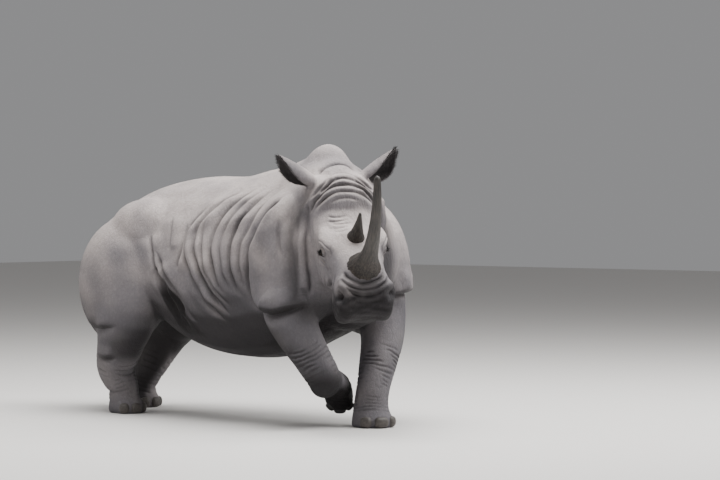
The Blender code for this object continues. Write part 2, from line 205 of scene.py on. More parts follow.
def neck_forms(bm):
    """Short deep neck with the hump that carries the head."""
    tube(bm, [
        (0.45, 0.00, 1.12, 0.34, 0.44, 0.42),
        (0.66, -0.05, 1.24, 0.32, 0.44, 0.42, 1.8, 2),
        (0.83, -0.13, 1.31, 0.30, 0.34, 0.38, 1.9, 2),
        (0.96, -0.21, 1.32, 0.25, 0.24, 0.29),
    ], side=(0.35, 0.93, 0), dome=0.6)
    mass(bm, (0.685, -0.06, 1.40), (0.225, 0.165, 0.335), (0, 12, -15))


def tail_forms(bm):
    """Short whip tail with a flat bristled tip."""
    tube(bm, [
        (-1.08, 0.0, 1.19, 0.075, 0.085, 0.085),
        (-1.26, 0.0, 1.15, 0.055, 0.055, 0.055),
        (-1.365, 0.0, 1.01, 0.038, 0.038, 0.038),
        (-1.385, 0.0, 0.82, 0.030, 0.030, 0.030),
        (-1.385, 0.0, 0.66, 0.034, 0.020, 0.020),
    ], sides=12)


# ---- legs ---------------------------------------------------------------------------------
def toes(bm, frame, spread, reach, size):
    """Three blunt toes round the front of a foot."""
    for turn in (-spread, 0, spread):
        place = frame @ Matrix.Rotation(math.radians(turn), 4, 'Z')
        mass(bm, (reach, 0, TOE_HEIGHT), (size * 0.9, size, 0.058), frame=place)


def fore_left_forms(bm):
    """Planted foreleg, tucked in under the chest."""
    tube(bm, [
        (0.66, 0.32, 1.00, 0.160, 0.240, 0.240),
        (0.78, 0.34, 0.76, 0.150, 0.190, 0.190),
        (0.87, 0.28, 0.56, 0.130, 0.140, 0.150),
        (0.91, 0.18, 0.38, 0.115, 0.120, 0.120),
        (0.925, 0.12, 0.25, 0.104, 0.105, 0.105),
        (0.925, 0.10, 0.13, 0.104, 0.105, 0.115),
        (0.94, 0.095, 0.02, 0.130, 0.120, 0.140),
    ], sides=20)
    toes(bm, **FORE_LEFT_TOES)


def fore_right_forms(bm):
    """Lifted foreleg: forearm swung forwards, foot folded under and inwards at the wrist."""
    tube(bm, [
        (0.58, -0.31, 0.98, 0.160, 0.240, 0.240),
        (0.65, -0.37, 0.78, 0.145, 0.190, 0.190),
        (0.72, -0.37, 0.61, 0.125, 0.150, 0.150),
        (0.80, -0.32, 0.45, 0.110, 0.120, 0.125),
        (0.84, -0.26, 0.33, 0.104, 0.105, 0.115),
        (0.83, -0.22, 0.27, 0.098, 0.090, 0.100),
    ], sides=20, dome=0.8)
    tube(bm, [
        (0.83, -0.23, 0.30, 0.085, 0.085, 0.085),
        (0.778, -0.105, 0.280, 0.084, 0.085, 0.085),
        (0.724, 0.015, 0.235, 0.090, 0.090, 0.095),
        (0.686, 0.078, 0.165, 0.092, 0.086, 0.092),
    ], side=(0.5, 0.85, 0), sides=20, dome=0.4)
    toes(bm, **FORE_RIGHT_TOES)


def hind_forms(bm, hip, stifle, shank, hock, cannon, foot):
    """A hind leg down through its joints. Each is the place of its middle."""
    tube(bm, [
        (*hip, 0.170, 0.300, 0.340),
        (*stifle, 0.155, 0.250, 0.260),
        (*shank, 0.135, 0.175, 0.175),
        (*hock, 0.110, 0.135, 0.150),
        (*cannon, 0.098, 0.100, 0.110),
        (foot[0] - 0.02, foot[1], 0.110, 0.095, 0.100, 0.105),
        (foot[0] - 0.01, foot[1], 0.020, 0.112, 0.110, 0.120),
    ], sides=20)


def hind_right_forms(bm):
    """Right hind leg, straight under the hip."""
    hind_forms(bm, hip=(-0.83, -0.26, 1.00), stifle=(-0.78, -0.31, 0.68),
               shank=(-0.86, -0.28, 0.47), hock=(-0.94, -0.24, 0.30),
               cannon=(-0.90, -0.215, 0.18), foot=HIND_RIGHT_FOOT)
    toes(bm, **HIND_RIGHT_TOES)


def hind_left_forms(bm):
    """Left hind leg, a stride further back."""
    hind_forms(bm, hip=(-0.82, 0.24, 1.00), stifle=(-0.90, 0.29, 0.68),
               shank=(-1.00, 0.26, 0.48), hock=(-1.07, 0.22, 0.31),
               cannon=(-1.12, 0.20, 0.19), foot=HIND_LEFT_FOOT)
    toes(bm, **HIND_LEFT_TOES)


def foot_frame(place, **turns):
    """Frame of a foot: origin in the middle of its sole, +X to the middle toe."""
    return Matrix.Translation(place) @ turned(**turns)


TOE_HEIGHT = 0.035
HIND_RIGHT_FOOT, HIND_LEFT_FOOT = (-0.875, -0.21), (-1.12, 0.19)
FORE_LEFT_TOES = dict(frame=foot_frame((0.94, 0.095, 0), yaw=-24),
                      spread=48, reach=0.075, size=0.066)
FORE_RIGHT_TOES = dict(frame=foot_frame((0.685, 0.074, 0.175), yaw=-38, drop=86),
                       spread=44, reach=0.052, size=0.054)
HIND_RIGHT_TOES = dict(frame=foot_frame((*HIND_RIGHT_FOOT, 0), yaw=-8),
                       spread=46, reach=0.070, size=0.058)
HIND_LEFT_TOES = dict(frame=foot_frame((*HIND_LEFT_FOOT, 0), yaw=8),
                      spread=46, reach=0.070, size=0.058)


# ---- head ---------------------------------------------------------------------------------
def head_forms(bm):
    """Long head in its own frame: +X down to the lips, +Y left, +Z out of the forehead."""
    tube(bm, [
        (-0.04, 0, -0.13, 0.150, 0.13, 0.13, 2.2, 2.2),
        (0.05, 0, -0.13, 0.200, 0.14, 0.17, 2.4, 2.2),
        (0.16, 0, -0.14, 0.212, 0.13, 0.21, 2.5, 2.2),
        (0.30, 0, -0.15, 0.210, 0.115, 0.21, 2.6, 2.3),
        (0.43, 0, -0.145, 0.195, 0.12, 0.19, 2.5, 2.3),
        (0.55, 0, -0.135, 0.165, 0.13, 0.17, 2.2, 2.3),
        (0.66, 0, -0.13, 0.152, 0.135, 0.155, 2.3, 2.4),
        (0.77, -0.01, -0.145, 0.166, 0.12, 0.14, 3.0, 2.8),
        (0.86, -0.015, -0.17, 0.165, 0.085, 0.12, 3.6, 3.2),
        (0.91, -0.015, -0.18, 0.143, 0.050, 0.09, 3.6, 3.2),
    ], frame=HEAD, dome=0.25)
    mass(bm, (0.02, 0, -0.05), (0.08, 0.15, 0.06), frame=HEAD)              # crest of the poll
    mass(bm, (0.46, 0, -0.06), (0.10, 0.095, 0.065), frame=HEAD)            # rear horn's seat
    mass(bm, (0.69, 0, -0.05), (0.130, 0.120, 0.070), frame=HEAD)           # front horn's seat
    mass(bm, (0.80, 0, -0.295), (0.10, 0.125, 0.045), frame=HEAD)           # chin
    for side in (-1, 1):
        mass(bm, (0.43, 0.155 * side, -0.075), (0.10, 0.055, 0.045), frame=HEAD)    # brow
        mass(bm, (0.38, 0.120 * side, -0.25), (0.29, 0.090, 0.125), frame=HEAD)     # cheek
        mass(bm, (0.80, 0.130 * side, -0.11), (0.070, 0.050, 0.055), frame=HEAD)    # nostril
        mass(bm, (0.03, 0.135 * side, -0.04), (0.065, 0.055, 0.060), frame=HEAD)    # ear root


# Which way each ear opens: the left one forwards, the right one more outwards.
EAR_OPENINGS = {1: (0.80, 0.40, 0.16), -1: (0.66, -0.60, -0.35)}
# share of an ear's length, half width, half the angle that is open, and sag
EAR_SPOTS = 28                 # points along the bend of its wall
EAR_COURSE = smooth_rows([
    (0.00, 0.034, 30, 0.000), (0.18, 0.050, 42, 0.016), (0.42, 0.074, 66, 0.040),
    (0.66, 0.074, 84, 0.046), (0.86, 0.046, 96, 0.026), (1.00, 0.012, 105, 0.000)], 8)


def ear_lines(side):
    """An ear's root, the way it points, the way it opens, and the way across."""
    root = Vector((0.030, 0.125 * side - 0.012, -0.032))
    axis = Vector((-0.115, 0.25 * side, 0.153)).normalized()
    opening = Vector(EAR_OPENINGS[side])
    out = (opening - axis * axis.dot(opening)).normalized()
    return root, axis, out, axis.cross(out)


def ear_sag(side):
    """The way an ear's middle line sags: forwards and outwards."""
    return Vector((0.6, 0.6 * side, -0.5))


def ear_middle(side, share, sag):
    """A place on the middle line of an ear, which sags as it goes."""
    root, axis, *_ = ear_lines(side)
    return root + axis * EAR_LENGTH * share + ear_sag(side) * sag


def ear_form(bm, side):
    """Deep pointed cup, rolled shut at its root and open to one side."""
    _, _, out, across = ear_lines(side)
    shell = []
    for share, width, gape, sag in EAR_COURSE:
        centre = ear_middle(side, share, sag)
        ring = []
        for radius, order in ((width - 0.001, 1), (width - min(EAR_WALL, 0.7 * width), -1)):
            for j in range(EAR_SPOTS)[::order]:
                angle = math.radians(gape + (360 - 2 * gape) * j / (EAR_SPOTS - 1))
                spoke = out * math.cos(angle) + across * math.sin(angle)
                ring.append(HEAD @ (centre + spoke * radius))
        shell.append(ring)
    skin_rings(bm, shell)


def made(bm, name):
    """Turns a bmesh into an object of the scene."""
    mesh = bpy.data.meshes.new(name)
    bm.to_mesh(mesh)
    bm.free()
    piece = bpy.data.objects.new(name, mesh)
    SCENE.collection.objects.link(piece)
    return piece


def keep_shape(piece):
    """Turns what the piece's modifier makes into its mesh, and drops the modifier."""
    evaluated = piece.evaluated_get(bpy.context.evaluated_depsgraph_get())
    mesh = bpy.data.meshes.new_from_object(evaluated)
    piece.modifiers.clear()
    piece.data = mesh


def apply(piece, kind, **settings):
    """Gives the piece a modifier and keeps its result as the mesh."""
    modifier = piece.modifiers.new(kind, kind)
    for setting, value in settings.items():
        setattr(modifier, setting, value)
    keep_shape(piece)


def places(mesh):
    """The points of a mesh, a row for each."""
    points = np.empty(len(mesh.vertices) * 3, np.float32)
    mesh.vertices.foreach_get('co', points)
    return points.reshape(-1, 3).astype(float)


def directions(mesh):
    """Which way the mesh faces at each of its points."""
    normals = np.empty(len(mesh.vertices) * 3, np.float32)
    mesh.vertex_normals.foreach_get('vector', normals)
    return normals.reshape(-1, 3).astype(float)


def links(mesh):
    """The two points of each edge of a mesh."""
    edges = np.empty(len(mesh.edges) * 2, np.int32)
    mesh.edges.foreach_get('vertices', edges)
    return edges.reshape(-1, 2)


def put(mesh, points):
    """Moves the points of a mesh to new places."""
    mesh.vertices.foreach_set('co', points.astype(np.float32).ravel())
    mesh.update()


def relax(points, edges, rounds, share=0.5):
    """Evens out a surface: each point moves a share of the way to its neighbours' middle."""
    a, b = edges.T
    number = len(points)
    count = np.bincount(edges.ravel(), minlength=number)[:, None]
    for _ in range(rounds):
        total = np.stack([np.bincount(a, points[b, k], number)
                          + np.bincount(b, points[a, k], number) for k in range(3)], axis=1)
        points = points + share * (total / count - points)
    return points


def ramp(value, low, high):
    """0 below low, 1 above high and smooth in between; low may be the larger."""
    t = np.clip((value - low) / (high - low), 0, 1)
    return t * t * (3 - 2 * t)


def in_frame(points, frame):
    """The same points in the coordinates of a turned frame."""
    turn = np.array(frame.inverted())
    return points @ turn[:3, :3].T + turn[:3, 3]


ROUNDS_GRAIN = 0.009           # the grain of cells that the rounds below are counted for
EVEN_ROUNDS, SOFT_ROUNDS, LAST_ROUNDS = 14, 34, 4


def grown_hide():
    """The forms blended and evened out, with the ears grown on."""
    bm = bmesh.new()
    for forms in (trunk_forms, neck_forms, tail_forms, head_forms, fore_left_forms,
                  fore_right_forms, hind_left_forms, hind_right_forms):
        forms(bm)
    body = made(bm, 'hide')
    apply(body, 'REMESH', mode='VOXEL', voxel_size=BLEND_GRAIN)
    points, edges = places(body.data), links(body.data)
    even = (ROUNDS_GRAIN / BLEND_GRAIN) ** 2
    points = relax(points, edges, int(EVEN_ROUNDS * even))
    # The trunk and the tops of the limbs are rounder than the head and feet.
    head = in_frame(points, HEAD)
    soft = ramp(points[:, 2], 0.45, 0.75) * ramp(head[:, 0], 0.0, -0.12)
    points = relax(points, edges, int(SOFT_ROUNDS * even), 0.5 * soft[:, None])
    put(body.data, points)
    bm = bmesh.new()
    bm.from_mesh(body.data)
    for side in (1, -1):
        ear_form(bm, side)
    bm.to_mesh(body.data)
    bm.free()
    apply(body, 'REMESH', mode='VOXEL', voxel_size=HIDE_GRAIN)
    points, edges = places(body.data), links(body.data)
    points = relax(points, edges, LAST_ROUNDS)
    put(body.data, points)
    return body


# ---- folds --------------------------------------------------------------------------------
# A fold is drawn on a plane beside the hide and cast onto it: which two axes the drawing
# has, and which way it looks from.
RIGHT_SIDE = ((1, 0, 0), (0, 0, 1), (0, -1, 0))
LEFT_SIDE = ((1, 0, 0), (0, 0, 1), (0, 1, 0))
FROM_ABOVE = ((1, 0, 0), (0, 1, 0), (0, 0, 1))
FROM_FRONT = ((0, 1, 0), (0, 0, 1), (1, 0, 0))


def uneven(points, size, seed):
    """Smooth chance from about -1 to 1 over points, with swells as long as size."""
    chance = np.random.default_rng(seed)
    total = np.zeros(len(points))
    for _ in range(7):
        wave = chance.normal(size=3)
        wave *= chance.uniform(0.7, 1.5) * math.tau / size / np.linalg.norm(wave)
        total += np.sin(points @ wave + chance.uniform(0, math.tau))
    return total / 2.6             # seven waves seldom add up to more


DEEPEST = 0.042                # no fold is deeper than this, however many meet
BESIDE = 1.5                   # how far off the plane stands that a fold is drawn on
JUMP = 0.12                    # a longer step means that the line fell onto another form
STRAY = 0.005                  # how far a fold wanders from its drawing
# painted shade in the folds: how deep a fold must be for the full amount, and how much the
# wrinkles round the limbs get
DARK_DEPTH = 0.016             # folds this deep or deeper are dark at the bottom
RING_SHADE = 0.6               # how dark the wrinkles round the limbs are


class Relief:
    """What rises from a hide and sinks into it, added up before any point is moved."""

    def __init__(self, piece):
        self.points = places(piece.data)
        self.normals = directions(piece.data)
        self.tree = BVHTree.FromObject(piece, bpy.context.evaluated_depsgraph_get())
        self.rise = np.zeros(len(self.points))
        # painted shade for the bottom of each fold
        self.shade = np.zeros(len(self.points))

    def cast(self, drawing, chart, frame):
        """The drawing's smooth line on the hide, and which way the hide faces along it."""
        across, up, toward = (Vector(axis) for axis in chart)
        turn = frame.to_3x3()
        runs = [[]]
        for a, b in smooth_rows(drawing, 6):
            start = frame @ (across * a + up * b + toward * BESIDE)
            place, normal, *_ = self.tree.ray_cast(start, -(turn @ toward))
            if place is None or (runs[-1] and (runs[-1][-1][0] - place).length > JUMP):
                runs.append([])           # the line left the hide, or jumped to another form
            if place:
                runs[-1].append((place, normal))
        longest = max(runs, key=len)
        line = [place + noise.noise_vector(place * 9) * STRAY for place, _ in longest]
        return np.array(line), np.array([normal for _, normal in longest])

    def near(self, low, high, reach):
        """The points in the box from low to high and up to reach outside it."""
        return np.flatnonzero(((self.points > low - reach)
                               & (self.points < high + reach)).all(axis=1))

    def fold(self, drawing, width, depth, left=0.0, right=0.0, spread=0.03, ends=0.25,
             chart=RIGHT_SIDE, frame=Matrix()):
        """A crease of some width and depth, with a roll of skin beside it on either hand."""
        line, out = self.cast(drawing, chart, frame)
        reach = max(6 * width, 4 * spread if left or right else 0)
        deep = min(1.0, (depth / DARK_DEPTH) ** 1.5)
        near = self.near(line.min(0), line.max(0), reach)
        points = self.points[near]
        start, run = line[:-1], np.diff(line, axis=0)
        # the stretch of the line that is nearest to each point, and how far off and along it is
        share = np.stack([(points - a) @ b / max(b @ b, 1e-9) for a, b in zip(start, run)], 1)
        share = np.clip(share, 0, 1)
        gaps = points[:, None] - start - share[..., None] * run
        far = np.linalg.norm(gaps, axis=2)
        best = far.argmin(1)
        rows = np.arange(len(near))
        far, gap, share = far[rows, best], gaps[rows, best], share[rows, best]
        hand = np.cross(out[best], run[best])
        lefts = np.einsum('ij,ij->i', gap, hand) > 0
        along = (best + share) / len(run)
        # the fold fades towards its ends and where the hide turns away, and varies as it goes
        fade = ramp(along, 0, ends) * ramp(along, 1, 1 - ends)
        fade = fade * ramp(np.einsum('ij,ij->i', self.normals[near], out[best]), -0.2, 0.35)
        fade = fade * (1 + 0.3 * uneven(points, 0.14, 3))
        # it narrows as it fades, to a crease with a soft edge and a bank on either hand
        thin = width * (0.6 + 0.4 * ramp(fade, 0, 0.7))
        crease = 0.45 * np.exp(-(far / thin) ** 2) + 0.55 * np.exp(-(far / (2.5 * thin)) ** 2)
        bank = far / spread * np.exp(1 - far / spread) * ramp(far, reach, 0.5 * reach)
        self.rise[near] += fade * (np.where(lefts, left, right) * bank - depth * crease)
        # the bottom of the crease gets painted shade
        self.shade[near] = np.maximum(self.shade[near],
                                      deep * fade * np.exp(-(far / (1.5 * thin)) ** 2))

    def swell(self, place, size, height, frame=Matrix()):
        """A soft rise, or with a negative height a hollow, round a place."""
        middle = np.array(frame @ Vector(place))
        near = self.near(middle, middle, 2.5 * max(size))
        offset = in_frame(self.points[near], frame) - np.array(place)
        self.rise[near] += height * np.exp(-((offset / np.array(size)) ** 2).sum(axis=1))

    def rings(self, start, end, reach, gap, width, depth, seed):
        """Wrinkles round a limb between two places on its middle line."""
        start, end = np.array(start), np.array(end)
        near = self.near(np.minimum(start, end), np.maximum(start, end), reach)
        points = self.points[near]
        axis = end - start
        length = np.linalg.norm(axis)
        along = (points - start) @ axis / length
        away = np.linalg.norm(points - start - along[:, None] * axis / length, axis=1)
        count = along / gap + 0.22 * uneven(points, 0.20, seed) + 0.06 * uneven(points, 0.05, seed)
        aside = np.abs(count - np.round(count)) * gap
        fade = (ramp(along, 0, 0.15 * length) * ramp(along, length, 0.85 * length)
                * ramp(away, 1.3 * reach, reach) * ramp(uneven(points, 0.13, seed + 1), -0.7, 0.4))
        crease = fade * np.exp(-(aside / width) ** 2)
        self.rise[near] -= depth * crease
        # painted shade in the bottom of the wrinkle
        self.shade[near] = np.maximum(self.shade[near], RING_SHADE * crease)


def flank_folds(hide):
    """Folds that hang over the ribs, behind the shoulder and before the thigh."""
    ribs = [
        # drawn from the back down to the belly; then width, depth and the roll before it
        ([(-0.33, 1.28), (-0.30, 1.16), (-0.29, 1.06)], 0.009, 0.008, 0.008),
        ([(-0.16, 1.24), (-0.165, 1.14), (-0.17, 1.04), (-0.20, 0.94)], 0.010, 0.012, 0.012),
        ([(0.00, 1.38), (-0.10, 1.27), (-0.14, 1.16), (-0.12, 1.05), (-0.08, 0.95),
          (-0.02, 0.86), (0.04, 0.77), (0.12, 0.69), (0.22, 0.60)], 0.012, 0.018, 0.018),
        ([(0.15, 1.43), (0.02, 1.34), (-0.04, 1.25), (-0.06, 1.16), (-0.04, 1.06),
          (0.01, 0.97), (0.07, 0.87), (0.15, 0.77), (0.24, 0.66)], 0.013, 0.022, 0.020),
        ([(0.24, 1.46), (0.10, 1.39), (0.02, 1.30), (0.00, 1.21), (0.02, 1.11),
          (0.05, 1.01), (0.10, 0.90), (0.18, 0.80), (0.26, 0.72)], 0.010, 0.014, 0.014),
        ([(0.35, 1.49), (0.23, 1.40), (0.15, 1.31), (0.11, 1.21), (0.10, 1.11),
          (0.13, 1.00), (0.17, 0.89), (0.24, 0.78)], 0.012, 0.020, 0.018),
        ([(0.41, 1.47), (0.31, 1.39), (0.23, 1.30), (0.19, 1.20), (0.18, 1.10),
          (0.20, 1.00), (0.24, 0.90), (0.30, 0.80)], 0.009, 0.010, 0.010),
        ([(0.47, 1.47), (0.38, 1.38), (0.31, 1.28), (0.27, 1.17), (0.26, 1.06),
          (0.28, 0.96), (0.31, 0.86), (0.36, 0.78)], 0.012, 0.017, 0.016),
        ([(0.50, 1.42), (0.42, 1.31), (0.37, 1.20), (0.34, 1.10), (0.34, 1.00),
          (0.36, 0.90), (0.39, 0.82)], 0.009, 0.012, 0.010),
    ]
    for chart in (RIGHT_SIDE, LEFT_SIDE):

        def draw(drawing, width, depth, before, behind, spread, ends=0.25):
            left, right = (before, behind) if chart is RIGHT_SIDE else (behind, before)
            hide.fold(drawing, width, depth, left, right, spread, ends, chart=chart)

        for drawing, width, depth, roll in ribs:
            draw(drawing, width, depth, roll, 0.3 * roll, 0.030, 0.2)
        # the shoulder overhangs the ribs and the top of the foreleg
        draw([(0.66, 1.44), (0.57, 1.32), (0.48, 1.20), (0.43, 1.10), (0.41, 1.00),
              (0.41, 0.90), (0.43, 0.80), (0.50, 0.72), (0.60, 0.68)],
             0.016, 0.032, 0.034, 0.004, 0.050, 0.15)
        draw([(0.50, 0.74), (0.58, 0.69), (0.68, 0.70), (0.78, 0.73), (0.86, 0.76)],
             0.016, 0.040, 0.034, 0.004, 0.045)
        # the left shoulder's overhang goes on round its front
        if chart is LEFT_SIDE:
            hide.fold([(0.22, 0.79), (0.30, 0.795), (0.38, 0.80), (0.46, 0.81), (0.54, 0.83)],
                      0.011, 0.028, 0.024, 0.0, 0.050, 0.2, chart=FROM_FRONT)
        # soft folds down the shoulder and the side of the neck
        draw([(0.68, 1.42), (0.61, 1.28), (0.57, 1.12), (0.55, 0.96)],
             0.014, 0.004, 0, 0, 0.05)
        draw([(0.76, 1.36), (0.71, 1.22), (0.69, 1.08), (0.69, 0.92)],
             0.014, 0.004, 0, 0, 0.04, 0.4)
        # the web of skin that runs from the hip over the front of the thigh to the belly
        draw([(-0.50, 1.17), (-0.47, 1.09), (-0.43, 1.00), (-0.38, 0.91), (-0.34, 0.83)],
             0.008, 0.016, 0.010, 0.008, 0.035, 0.2)
        draw([(-0.44, 1.09), (-0.36, 1.00), (-0.28, 0.89), (-0.21, 0.78), (-0.14, 0.67),
              (-0.06, 0.60)], 0.014, 0.012, 0.012, 0.018, 0.035, 0.3)
        draw([(-0.40, 0.98), (-0.37, 0.90), (-0.335, 0.81), (-0.30, 0.71), (-0.29, 0.60)],
             0.018, 0.050, 0.024, 0.004, 0.045, 0.2)
        draw([(-0.36, 0.93), (-0.30, 0.83), (-0.24, 0.74), (-0.17, 0.64)],
             0.018, 0.040, 0.002, 0.020, 0.040, 0.25)
        # the fold where the thigh narrows to the hock
        draw([(-1.16, 0.60), (-1.06, 0.565), (-0.94, 0.55), (-0.80, 0.56), (-0.70, 0.59)],
             0.016, 0.010, 0.010, 0.004, 0.040, 0.5)


def muscles(hide):
    """The hip and thigh under the hide: a flatter hip, and a fuller front to the thigh."""
    for side in (1, -1):
        hide.swell((-0.60, 0.36 * side, 1.26), (0.18, 0.16, 0.13), -0.018)
        hide.swell((-0.36, 0.36 * side, 1.24), (0.10, 0.14, 0.12), 0.014)
        hide.swell((-0.66, 0.42 * side, 1.10), (0.16, 0.14, 0.09), 0.012)
        hide.swell((-0.56, 0.40 * side, 0.80), (0.09, 0.12, 0.20), 0.020)
        hide.swell((-0.24, 0.38 * side, 0.70), (0.06, 0.14, 0.10), -0.050)
        hide.swell((-0.58, 0.44 * side, 1.13), (0.07, 0.12, 0.07), 0.014)


def limb_folds(hide):
    """Wrinkles at the wrists and hocks and above the feet."""
    limbs = (
        # start and end on the middle line, then reach, gap, width, depth and seed
        ((0.89, 0.24, 0.48), (0.925, 0.12, 0.20), 0.20, 0.027, 0.005, 0.007, 21),
        ((0.93, 0.11, 0.20), (0.94, 0.095, 0.08), 0.18, 0.022, 0.004, 0.004, 22),
        ((0.76, -0.35, 0.54), (0.84, -0.24, 0.28), 0.20, 0.030, 0.005, 0.004, 23),
        ((0.83, -0.22, 0.28), (0.70, 0.00, 0.20), 0.15, 0.024, 0.005, 0.006, 24),
        ((-0.89, -0.27, 0.40), (-0.94, -0.24, 0.24), 0.20, 0.040, 0.006, 0.005, 25),
        ((-0.92, -0.23, 0.24), (-0.875, -0.21, 0.08), 0.17, 0.026, 0.005, 0.004, 26),
        ((-1.03, 0.25, 0.42), (-1.10, 0.21, 0.24), 0.20, 0.040, 0.006, 0.005, 27),
        ((-1.10, 0.22, 0.24), (-1.12, 0.19, 0.08), 0.17, 0.026, 0.005, 0.004, 28),
    )
    for row in limbs:
        hide.rings(*row)
    # a deep crease over each hock and one above each hind foot; the left leg is further back
    for chart, shift in ((RIGHT_SIDE, 0.0), (LEFT_SIDE, -0.16)):
        hide.fold([(-1.02 + shift, 0.375), (-0.92 + shift, 0.355), (-0.80 + shift, 0.365)],
                  0.010, 0.014, 0.010, 0.004, 0.03, chart=chart)
        hide.fold([(-1.00 + shift, 0.145), (-0.90 + shift, 0.135), (-0.78 + shift, 0.150)],
                  0.008, 0.008, 0.006, 0.004, 0.02, chart=chart)


# the edge of the face seen from its side: down behind the eye and along the jaw
JAW_LINE = [(0.12, -0.05), (0.17, -0.085), (0.21, -0.12), (0.28, -0.17), (0.37, -0.225),
            (0.46, -0.292), (0.52, -0.35), (0.57, -0.42)]
JAW_GROOVE = 0.012             # how far below that line its groove runs


def nostril(side):
    """Where a nostril opens, in the head's frame."""
    return 0.83, 0.155 * side - 0.012, -0.088


def head_folds(hide):
    """Arches over the forehead, folds at the ears, jaw and neck, and rolls on the muzzle."""

    def draw(drawing, width, depth, left=0.0, right=0.0, spread=0.03, ends=0.25,
             chart=FROM_ABOVE):
        hide.fold(drawing, width, depth, left, right, spread, ends, chart=chart, frame=HEAD)

    # the crown of the head: nested arches from ear to ear, open towards the nose
    draw([(-0.02, -0.13), (-0.07, -0.08), (-0.10, 0.00), (-0.08, 0.07), (-0.02, 0.12)],
         0.010, 0.016, 0.010, 0.014)
    draw([(0.06, -0.10), (0.02, -0.05), (0.00, 0.00), (0.02, 0.05), (0.06, 0.09)],
         0.007, 0.008, 0.004, 0.006, 0.02)
    draw([(0.13, -0.16), (0.10, -0.10), (0.07, -0.04), (0.06, 0.00), (0.07, 0.04),
          (0.10, 0.10), (0.13, 0.15)], 0.009, 0.013, 0.008, 0.010, 0.022, 0.1)
    draw([(0.20, -0.215), (0.16, -0.17), (0.125, -0.10), (0.11, -0.03), (0.11, 0.03),
          (0.135, 0.10), (0.18, 0.17), (0.22, 0.21)], 0.010, 0.018, 0.010, 0.012, 0.024, 0.08)
    draw([(0.22, -0.20), (0.18, -0.14), (0.155, -0.07), (0.15, 0.00), (0.16, 0.07),
          (0.19, 0.14), (0.23, 0.20)], 0.008, 0.011, 0.006, 0.008, 0.020, 0.15)
    draw([(0.21, -0.12), (0.19, -0.05), (0.19, 0.02), (0.21, 0.09)], 0.007, 0.005, 0, 0.004, 0.02)
    for x, y in ((0.27, -0.04), (0.30, -0.05), (0.325, -0.03), (0.355, -0.06), (0.385, -0.04)):
        draw([(x, y - 0.09), (x + 0.02, y - 0.03), (x + 0.015, y + 0.05)], 0.006, 0.005,
             0.002, 0.002, 0.014)
    for side in (1, -1):
        # round the ear's root
        draw([(0.02, 0.07 * side), (0.07, 0.10 * side), (0.11, 0.15 * side),
              (0.13, 0.20 * side)], 0.009, 0.012, 0.006, 0.006, 0.02)
        draw([(0.05, 0.06 * side), (0.10, 0.10 * side), (0.14, 0.16 * side),
              (0.17, 0.21 * side)], 0.007, 0.009, 0.004, 0.004, 0.018)
        sides = LEFT_SIDE if side > 0 else RIGHT_SIDE
        by_the_eye = (0.003, 0.003, 0.012, 0.3, sides)
        on_the_cheek = (0.003, 0.003, 0.014, 0.35, sides)
        # wrinkles that run round the eye, above and below it
        eye_x, _, eye_z = EYE_PLACE
        for reach, depth in ((0.048, 0.007), (0.066, 0.006), (0.086, 0.004)):
            arc = [(eye_x - 0.9 * reach * math.cos(turn), eye_z + 0.8 * reach * math.sin(turn))
                   for turn in np.radians((10, 40, 70, 100, 130, 160))]
            draw(arc, 0.005, depth, *by_the_eye)
            arc = [(x, 2 * eye_z - z) for x, z in arc]
            draw(arc, 0.005, depth, *by_the_eye)
        draw([(0.53, -0.150), (0.56, -0.165), (0.59, -0.160)], 0.005, 0.006, *by_the_eye)
        draw([(0.545, -0.125), (0.575, -0.140), (0.61, -0.140)], 0.005, 0.005, *by_the_eye)
        # fine wrinkles down the cheek, behind the eye and below it
        for x, z in ((0.24, -0.10), (0.29, -0.112), (0.34, -0.118)):
            draw([(x, z), (x + 0.09, z - 0.05), (x + 0.18, z - 0.115)],
                 0.005, 0.005, *on_the_cheek)
        for x, z in ((0.52, -0.22), (0.56, -0.20), (0.60, -0.19)):
            draw([(x, z), (x + 0.04, z - 0.045), (x + 0.06, z - 0.10)],
                 0.005, 0.005, *on_the_cheek)
        # the back of the jaw stands clear of the neck
        hide.swell((0.34, 0.21 * side, -0.29), (0.17, 0.10, 0.06), -0.022, HEAD)
        rolls = (0.016, 0.0) if side > 0 else (0.0, 0.016)
        draw([(x, z - JAW_GROOVE) for x, z in JAW_LINE], 0.008, 0.010, *rolls, 0.035, 0.12, sides)
        draw([(0.12, -0.22), (0.24, -0.28), (0.36, -0.34)], 0.012, 0.010,
             0.006, 0.006, 0.04, 0.3, sides)
        # from the corner of the mouth forwards between the lips
        draw([(0.645, -0.225), (0.70, -0.238), (0.78, -0.250), (0.86, -0.255), (0.93, -0.245)],
             0.007, 0.020, 0.008, 0.008, 0.020, 0.12, sides)
        draw([(0.62, -0.19), (0.64, -0.225), (0.63, -0.26)],
             0.008, 0.010, 0.006, 0.006, 0.02, 0.3, sides)
        draw([(0.66, -0.10), (0.70, -0.14), (0.70, -0.19)],
             0.008, 0.008, 0.004, 0.006, 0.02, 0.3, sides)
    # rolls across the nose in front of the horn
    draw([(0.69, -0.125), (0.755, -0.105), (0.795, -0.05), (0.80, 0.00), (0.79, 0.05),
          (0.755, 0.10), (0.69, 0.120)], 0.010, 0.016, 0.010, 0.010, 0.022, 0.1)
    draw([(0.735, -0.145), (0.795, -0.115), (0.825, -0.06), (0.83, 0.00), (0.825, 0.05),
          (0.79, 0.11), (0.735, 0.140)], 0.009, 0.013, 0.008, 0.008, 0.020, 0.1)
    draw([(0.80, -0.135), (0.845, -0.09), (0.86, -0.02), (0.855, 0.06), (0.82, 0.12)],
         0.008, 0.008, 0.005, 0.005, 0.018, 0.2)
    draw([(0.875, -0.10), (0.885, -0.03), (0.885, 0.04), (0.875, 0.10)], 0.008, 0.005)
    for side in (1, -1):
        # the nostril: a deep slit with a thick rim, on the corner of the muzzle
        hide.swell((0.825, nostril(side)[1], -0.090), (0.055, 0.050, 0.055), 0.020, HEAD)
        hide.swell(nostril(side), (0.032, 0.030, 0.022), -0.080, HEAD)
